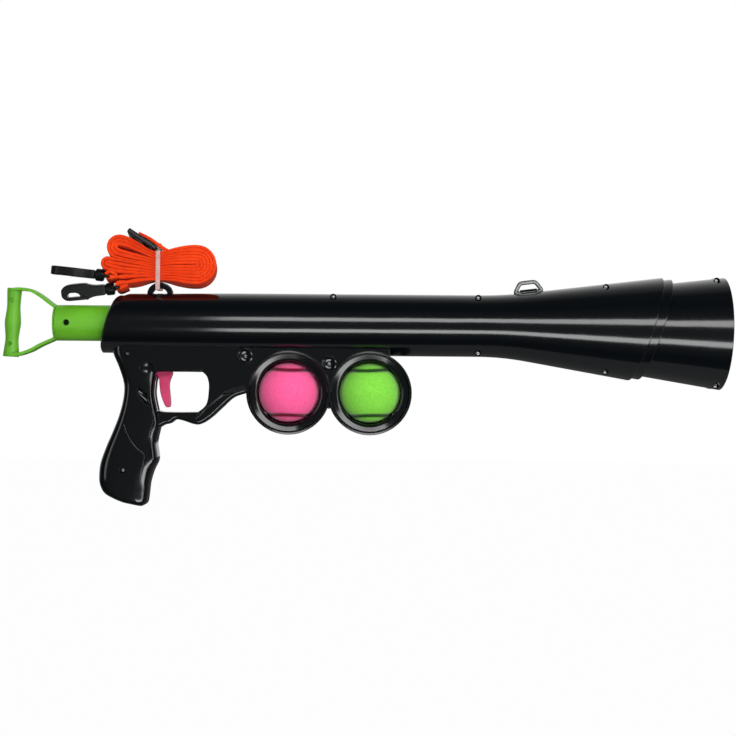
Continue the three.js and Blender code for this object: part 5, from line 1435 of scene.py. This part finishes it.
# %% [markdown]
# ## The whole route
# The runs are visited in the order in which the strap was folded. The points are then placed
# evenly, so that a count of points can tell a run from its neighbours in the next step.

# %% Strap route
def strap_route():
    """The whole strap, from the lower hook's eye to the upper one's."""
    points = eye_end(eye_bar(LOWER_HOOK), 1)[::-1]
    heading = RIGHT
    for i, run in enumerate(RUN_ORDER):
        going_right = i % 2 == 0
        way = RIGHT if going_right else LEFT
        waist = waist_point(run)
        last = i == RUNS - 1
        if last:
            turn, arrival = eye_end(eye_bar(UPPER_HOOK), -1), LEFT
        else:
            turn = join_of(run, RUN_ORDER[i + 1], going_right)
            arrival = (turn[1] - turn[0]).normalized()
        points += bend(points[-1], heading, waist, way)[1:]
        points += bend(waist, way, turn[0], arrival)[1:]
        points += turn[1:]
        heading = (turn[-1] - turn[-2]).normalized()
    return points


def evenly(points, step):
    """The same route with points a fixed step apart."""
    placed, left = [points[0]], step
    for start, end in zip(points, points[1:]):
        span = (end - start).length
        done = 0.0
        while span - done >= left:
            done += left
            placed.append(start.lerp(end, done / span))
            left = step
        left -= span - done
    return [*placed, points[-1]]


ROUTE_STEP = 1.6
route = evenly(strap_route(), ROUTE_STEP)

# %% [markdown]
# ## The strap's thickness
# Pinched webbing lies flat, and loose webbing swells and looks thicker. So each stretch is as
# thick as the space to its nearest neighbour lets it be. Away from the waist the strip also
# leans, so that the lower face of each run shows a little, as in the photograph.

# %% Strap thickness
STRAP_HALF = 11.0
STRAP_THIN = 1.7
STRAP_FULL = 4.3
AIR = 0.06
OWN_STRETCH = 7
LEAN_OUT = Vector((0.6, 2.0))
LEAN_REACH = 18
SAG = Vector((0, 0.5))
WRAP = 0.12
STRAP_ANGLE = math.radians(50)
UPPER_FACE = [(-1.0, 0.5), (-0.98, 0.88), (-0.92, 1.0), (0.0, 1.0), (0.92, 1.0), (0.98, 0.88), (1.0, 0.5)]
STRAP_SECTION = [*UPPER_FACE, *[(-side, -lift) for side, lift in UPPER_FACE]]


def room_along(points):
    """Thickness at each point: the distance to the nearest other run, less a little air."""
    rooms = []
    for i, point in enumerate(points):
        nearest = min((point - other).length for k, other in enumerate(points) if abs(k - i) > OWN_STRETCH)
        rooms.append(min(max(nearest - AIR, STRAP_THIN), STRAP_FULL))
    for _ in range(3):
        rooms = [min(rooms[i], (rooms[max(i - 1, 0)] + rooms[i] + rooms[min(i + 1, len(rooms) - 1)]) / 3)
                 for i in range(len(rooms))]
    return rooms


def remember_weave(obj, weave):
    """Stores each vertex's place along and across the strap."""
    store = obj.data.attributes.new("weave", "FLOAT_VECTOR", "POINT")
    places = list(weave.items())
    tree = search_tree([place for place, _ in places])
    for vertex in obj.data.vertices:
        store.data[vertex.index].vector = places[tree.find(vertex.co)[1]][1]


def ribbon(name, points, rooms):
    """A soft flat strip along the points, with the coordinates of its weave."""
    rings, weave = [], {}
    length = 0.0
    for i, point in enumerate(points):
        along = heading_at(points, i)
        aside = Vector((-along.y, along.x))
        length += (point - points[max(i - 1, 0)]).length * MM
        lean = LEAN_OUT * min(1.0, abs(point.x - WAIST_X) / LEAN_REACH)
        ring = []
        for side, lift in STRAP_SECTION:
            place = point + aside * (lift * rooms[i] / 2) - lean * side + SAG
            ring.append(Vector((place.x, side * STRAP_HALF, place.y)))
            key = tuple(round(c, 3) for c in ring[-1])
            weave[key] = (length, (side + WRAP * lift) * STRAP_HALF * MM, 0)
        rings.append(ring)
    obj = loft(name, rings)
    remember_weave(obj, weave)
    return obj


strap = ribbon("folded_strap", route, room_along(route))
finish(strap, orange_web, "frame_body", "orange_web", "strap", angle=STRAP_ANGLE)

# %% [markdown]
# ## The strap's loose end
# A short end comes out of the slide and lies over the hank down to the tie. It is the same
# ribbon on a route of its own, of one thickness.

# %% Strap tail
TAIL = [(31.0, 89.6), (34.4, 88.2), (38.5, 86.8), (43, 85.0), (47.5, 82.6), (51.5, 80.0), (55, 77.2),
        (58.5, 74.6), (61, 73.0)]
TAIL_THICKNESS = 3.4
tail_route = smooth(TAIL, 6)
tail = ribbon("strap_end", tail_route, [TAIL_THICKNESS] * len(tail_route))
finish(tail, orange_web, "frame_body", "orange_web", "strap_tail", angle=STRAP_ANGLE)

# %% [markdown]
# ## The slide and the tie
# The slide is a flat black frame with a middle bar between two slots, tilted as it hangs. The
# tie is a clear nylon band that goes round the hank and under the arch, with an upright tab.

# %% Slide and tie
SLIDE_PLACE = (34.6, 84.4)
SLIDE_LEAN = math.radians(32.7)
SLIDE_ROLL = -0.14
SLIDE_CORNER = Vector((17, 15, 2.5))
SLOTS_ALONG = ((2.2, 11.6), (-11.6, -2.2))
SLOT_SIDE = 11.5
slide = block("slide_frame", -SLIDE_CORNER, SLIDE_CORNER, edge=1.2, rounds=4)
for low, high in SLOTS_ALONG:
    cut(slide, block("slot", (low, -SLOT_SIDE, -4), (high, SLOT_SIDE, 4), edge=0.5, rounds=2))
turned(turned(slide, "X", SLIDE_ROLL), "Y", SLIDE_LEAN)
moved(slide, SLIDE_PLACE[0], 0, SLIDE_PLACE[1])
finish(slide, hook_black, "frame_body", "hook_black", "strap_slide")

TIE_REAR, TIE_FRONT = 49.4, 54.0
TIE_HALF, TIE_WALL = 11.3, 1.1
TAB_TOP, TAB_HALF = 82.6, 3
tie_top = WAIST_Z + 5.5 * WAIST_PITCH + 1.4
tie_bottom = ARCH_BASE + ARCH_INNER[1] - 0.9
tie = block("clear_tie_band", (TIE_REAR, -TIE_HALF - TIE_WALL, tie_bottom - TIE_WALL),
            (TIE_FRONT, TIE_HALF + TIE_WALL, tie_top + TIE_WALL), edge=0.5, rounds=2)
cut(tie, block("tie_space", (TIE_REAR - 2, -TIE_HALF, tie_bottom), (TIE_FRONT + 2, TIE_HALF, tie_top)))
tab = block("tab", (TIE_REAR, -TAB_HALF, tie_top + 0.3), (TIE_FRONT, TAB_HALF, TAB_TOP), edge=0.5, rounds=2)
combine(tie, tab)
finish(tie, clear_nylon, "frame_body", "clear_tie", "strap_tie")

# %% [markdown]
# ## The snap hooks
# A snap hook is three pieces. The swivel is a turned knob with a bent wire eye for the strap.
# The body is a plate with a hook's window, hollow behind the gate and bored for the swivel.
# The gate is a bar on a round hub. Each is drawn lying along X and then placed on its hook.

# %% Snap hooks
HOOK_LENGTH = 46.0
KNOB_HALF = 4.4
HOOK_HALF = 8.6
HOOK_DEPTH = 4.5
THROUGH = 9
HOOK_SHARES = [(0.06, 0.62), (0.3, 0.66), (0.42, 0.82), (0.52, 1), (0.8, 1), (0.92, 0.84),
               (0.985, 0.5), (1.0, 0.2)]
HOOK_WINDOW = [(-44.4, -4.4), (-44.4, -2.4), (-42.8, -0.4), (-40.4, 0.2), (-35.4, 0.0),
               (-32.6, -1.3), (-31.2, -3.0), (-31.0, -4.4)]
SWIVEL_ROOM = [(0, -15.7), (3.7, -15.7), (3.7, -12.1), (2.7, -12.1), (2.7, 0), (0, 0)]
GATE_PIVOT, GATE_END = (-24.0, -6.2), -44
GATE_HUB, GATE_HOLE = 2.1, 2.4
KNOB = [(0, -15.4), (3.4, -15.4), (3.4, -12.4), (2.4, -12.4), (2.4, -KNOB_HALF), (4.9, -KNOB_HALF),
        (6.0, -3.8), (6.4, -2.6), (6.4, 2.6), (6.0, 3.8), (4.9, KNOB_HALF), (0, KNOB_HALF)]
EYE_WIRE = 1.6
EYE_CORNERS = [(2.8, -4.4), (6, -13.6), (EYE_REACH, -13.6), (EYE_REACH, 13.6), (6, 13.6), (2.8, 4.4)]


def placed(obj, hook, roll):
    """Sets a piece of a hook on its hook's axis."""
    turn = Matrix.Rotation(hook["pitch"], 4, "Y") @ Matrix.Rotation(roll, 4, "X")
    obj.data.transform(Matrix.Translation((hook["x"], 0, hook["z"])) @ turn)
    return obj


def hook_solid(name):
    """The hook's body, with its window, the gate's slots and the swivel's room."""
    reach = HOOK_LENGTH + KNOB_HALF
    edge = soft([(-along * reach, wide * HOOK_HALF) for along, wide in HOOK_SHARES], 5)
    upper = [(-KNOB_HALF - 0.3, 0.58 * HOOK_HALF), *edge[2:]]
    outline = [*upper, *[(x, -z) for x, z in reversed(upper)]]
    obj = plate(name, outline, -HOOK_DEPTH, HOOK_DEPTH, edge=1.4, rounds=4, sharper_than=50)
    cut(obj, plate("window", HOOK_WINDOW, -THROUGH, THROUGH))
    cut(obj, block("gate_slot", (GATE_END, -THROUGH, -THROUGH), (GATE_PIVOT[0], THROUGH, -4.4)))
    cut(obj, block("gate_swing", (GATE_END, -3.6, -5), (-23, 3.6, 3.4), edge=0.6, rounds=2))
    cut(obj, pin("pivot_hole", GATE_HOLE, -THROUGH, THROUGH, GATE_PIVOT))
    return cut(obj, lathe("swivel_room", SWIVEL_ROOM, "X", 32))


def gate_solid(name):
    """The gate's hub and its bar."""
    obj = pin(name, GATE_HUB, -4.4, 4.4, GATE_PIVOT)
    return combine(obj, block("bar", (GATE_END + 0.3, -3.2, -8.3), (GATE_PIVOT[0], 3.2, -4.7), 0.6, 2))


def swivel_solid(name, hook):
    """The swivel's knob and eye; the eye leans to where the strap pulls it."""
    knob = lathe(name, KNOB, "X", 48)
    eye_route = rounded_corners([Vector((x, y, 0)) for x, y in EYE_CORNERS], 1.6, 4)
    ring = wire("eye", eye_route, EYE_WIRE, closed=True, sides=16)
    return combine(knob, turned(ring, "Y", math.atan2(hook["drop"], EYE_REACH) - hook["pitch"]))


for name, hook in (("upper", UPPER_HOOK), ("lower", LOWER_HOOK)):
    swivel = placed(swivel_solid(f"{name}_swivel", hook), hook, 0)
    finish(swivel, hook_black, "frame_body", "steel", f"{name}_swivel_eye")
    snap = placed(hook_solid(f"{name}_snap"), hook, hook["roll"])
    finish(snap, hook_black, f"{name}_hook", "hook_black", f"{name}_hook_body")
    gate = placed(gate_solid(f"{name}_gate_bar"), hook, hook["roll"])
    finish(gate, hook_black, f"{name}_gate", "hook_black", f"{name}_hook_gate")

# %% [markdown]
# ## The springs
# Each spring is a circle swept up a helix by the Screw modifier, at one length. In the real
# thrower the main spring flattens as the handle is pulled, and the two small ones as the trigger
# is squeezed. All three lie inside the body, so they show only where it is open.

# %% Springs
COIL_STEPS = 24
SPRING_START, SPRING_END = 92.3, 382.4
MAIN_SPRING = (21.9, 1.2, 16)
SMALL_SPRING = (2.4, 0.45, 4)
TRIGGER_SPRING_X, TRIGGER_SPRING_Z = (28.0, 39.7), -56.5
SEAR_SPRING_Z, SEAR_SPRING_X = (-46.4, -38.3), 70.75


def coil(name, start, end, radius, wire_radius, turns, axis):
    """A coil from start to end along X or Z; its size is coil radius, wire radius and turns."""
    obj = added(name, bpy.ops.mesh.primitive_circle_add,
                vertices=12, radius=wire_radius, fill_type="NOTHING")
    edit(obj)
    bpy.ops.transform.rotate(value=math.pi / 2, orient_axis="X", center_override=(0, 0, 0))
    bpy.ops.transform.translate(value=(radius, 0, 0))
    bpy.ops.object.mode_set(mode="OBJECT")
    rise = end - start - 2 * wire_radius
    modify(obj, "SCREW", angle=2 * math.pi, screw_offset=rise / turns, iterations=turns,
           steps=COIL_STEPS, render_steps=COIL_STEPS, use_merge_vertices=False)
    edit(obj)
    bpy.ops.mesh.select_all(action="DESELECT")
    bpy.ops.mesh.select_non_manifold()
    bpy.ops.mesh.fill()
    moved(leave(obj), 0, 0, start + wire_radius)
    return turned(obj, "Y", math.pi / 2) if axis == "X" else obj


main_coil = coil("main_coil", SPRING_START, SPRING_END, *MAIN_SPRING, "X")
finish(main_coil, steel, "frame_body", "steel", "main_spring", angle=math.pi)
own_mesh(main_coil)
trigger_coil = coil("trigger_coil", *TRIGGER_SPRING_X, *SMALL_SPRING, "X")
moved(trigger_coil, 0, 0, TRIGGER_SPRING_Z)
finish(trigger_coil, steel, "frame_body", "steel", "trigger_spring", angle=math.pi)
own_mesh(trigger_coil)
sear_coil = coil("sear_coil", *SEAR_SPRING_Z, *SMALL_SPRING, "Z")
moved(sear_coil, SEAR_SPRING_X, 0, 0)
finish(sear_coil, steel, "frame_body", "steel", "sear_spring", angle=math.pi)
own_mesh(sear_coil)

# %% [markdown]
# ## CAD nodes that stay
# The bushes, the piston and the sear are right as they are. Their loose triangles are joined
# by a Weld modifier and smoothed up to an edge angle, and they take a proper material.

# %% Dressed CAD nodes
WELD_REACH = 0.00001
KEPT = {"rear_bush": rubber, "spring_seat": rubber, "bumper_ring": rubber, "piston_pad": rubber,
        "piston_head": green_plastic, "sear": steel, "trigger_pin": steel}
for name, cover in KEPT.items():
    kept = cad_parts[name]
    kept.data.materials.clear()
    kept.data.materials.append(cover)
    weld = kept.modifiers.new("weld", "WELD")
    weld.merge_threshold = WELD_REACH
    for polygon in kept.data.polygons:
        polygon.use_smooth = True
    split = kept.modifiers.new("edges", "EDGE_SPLIT")
    split.split_angle = SOFT_ANGLE
print(len(KEPT), "CAD nodes dressed")

# %% [markdown]
# ## The floor
# A pale paper floor lies far below the thrower. Only the camera sees it at its full white. For
# every other ray it is plain grey paper, so it throws little light back at the glossy body.

# %% Floor
FLOOR_Z = -0.75
FLOOR_SIZE = 12
PAPER_GLOW = 0.985
bpy.ops.object.select_all(action="DESELECT")
bpy.ops.mesh.primitive_plane_add(size=FLOOR_SIZE, location=(0.25, 5.8, FLOOR_Z))
floor = bpy.context.object
floor.name = "studio_floor"
paper, paper_tree, paper_shader = material("studio_paper", "a8a8a8", {"Roughness": 0.9})
rays = node(paper_tree, "ShaderNodeLightPath")
white = node(paper_tree, "ShaderNodeEmission", {"Color": (1, 1, 1, 1), "Strength": 1.0})
seen = maths(paper_tree, "MULTIPLY", rays.outputs["Is Camera Ray"], PAPER_GLOW)
mixed = node(paper_tree, "ShaderNodeMixShader",
             {0: seen, 1: paper_shader.outputs["BSDF"], 2: white.outputs["Emission"]})
paper_tree.links.new(mixed.outputs[0], paper_tree.nodes["Material Output"].inputs["Surface"])
floor.data.materials.append(paper)
print("floor at", FLOOR_Z, "m")

# %% [markdown]
# ## The surround
# The camera sees a white surround. A glossy black body is drawn by what it mirrors, so mirrored
# rays see a room of their own instead, by direction: dim in front and bright behind, which
# keeps the side dark and the turned-away edges light. Other rays get one even, low level.

# %% Surround
ROOM = [(0.0, 0.14), (0.06, 0.10), (0.25, 0.02), (0.5, 0.05), (0.66, 0.32), (0.88, 1.0)]
ROOM_FILL = 0.16
world = bpy.data.worlds.new("studio")
bpy.context.scene.world = world
world.use_nodes = True
sky = world.node_tree
rays = node(sky, "ShaderNodeLightPath")
heading = node(sky, "ShaderNodeTexCoord")
split = node(sky, "ShaderNodeSeparateXYZ", {"Vector": heading.outputs["Generated"]})
turn = maths(sky, "MULTIPLY_ADD", split.outputs["Y"], 0.5, 0.5)
room = ramp(sky, turn, ROOM)
by_mirror = maths(sky, "MAXIMUM", rays.outputs["Is Glossy Ray"], rays.outputs["Is Transmission Ray"])
around = node(sky, "ShaderNodeMix", {0: by_mirror, 2: ROOM_FILL, 3: room}, data_type="FLOAT")
level = maths(sky, "MAXIMUM", rays.outputs["Is Camera Ray"], around.outputs[0])
backdrop = sky.nodes["Background"]
backdrop.inputs["Color"].default_value = (1, 1, 1, 1)
sky.links.new(level, backdrop.inputs["Strength"])
print("surround made, fill", ROOM_FILL)

# %% [markdown]
# ## The lamps
# Two long strips in front draw the two bright lines that run along the barrel, as in the
# photograph. A narrow lamp at each end lights the edges that face sideways. Two broad lamps
# bring the colours to their own level, and aren't mirrored, so they leave no patch on the black.

# %% Lamps
def lamp(name, place, target, size, power, mirrored=True):
    """A soft rectangular lamp aimed at a point; glossy faces mirror it unless told not to."""
    data = bpy.data.lights.new(name, "AREA")
    data.shape = "RECTANGLE"
    data.size, data.size_y = size
    data.energy = power
    obj = bpy.data.objects.new(name, data)
    obj.location = place
    obj.rotation_euler = (Vector(target) - Vector(place)).to_track_quat("-Z", "Y").to_euler()
    obj.visible_glossy = mirrored
    bpy.context.scene.collection.objects.link(obj)
    return obj


lamp("strip_upper", (0.78, -1.40, 0.585), (0.78, 0, 0.11), (1.7, 0.32), 12)
lamp("strip_lower", (0.78, -1.40, -0.49), (0.78, 0, 0.11), (1.7, 0.30), 13)
lamp("strip_left", (-0.95, -1.15, 0.30), (0.1, 0, 0.08), (0.3, 1.0), 2)
lamp("strip_right", (1.75, -1.05, 0.15), (0.5, 0, 0.1), (0.3, 1.3), 6)
lamp("top_soft", (0.2, -0.7, 1.5), (0.2, 0, 0.05), (1.6, 1.2), 9, mirrored=False)
lamp("left_soft", (-1.0, -1.4, 0.4), (0.0, 0, 0.1), (0.8, 0.8), 2, mirrored=False)
print("lamps placed")
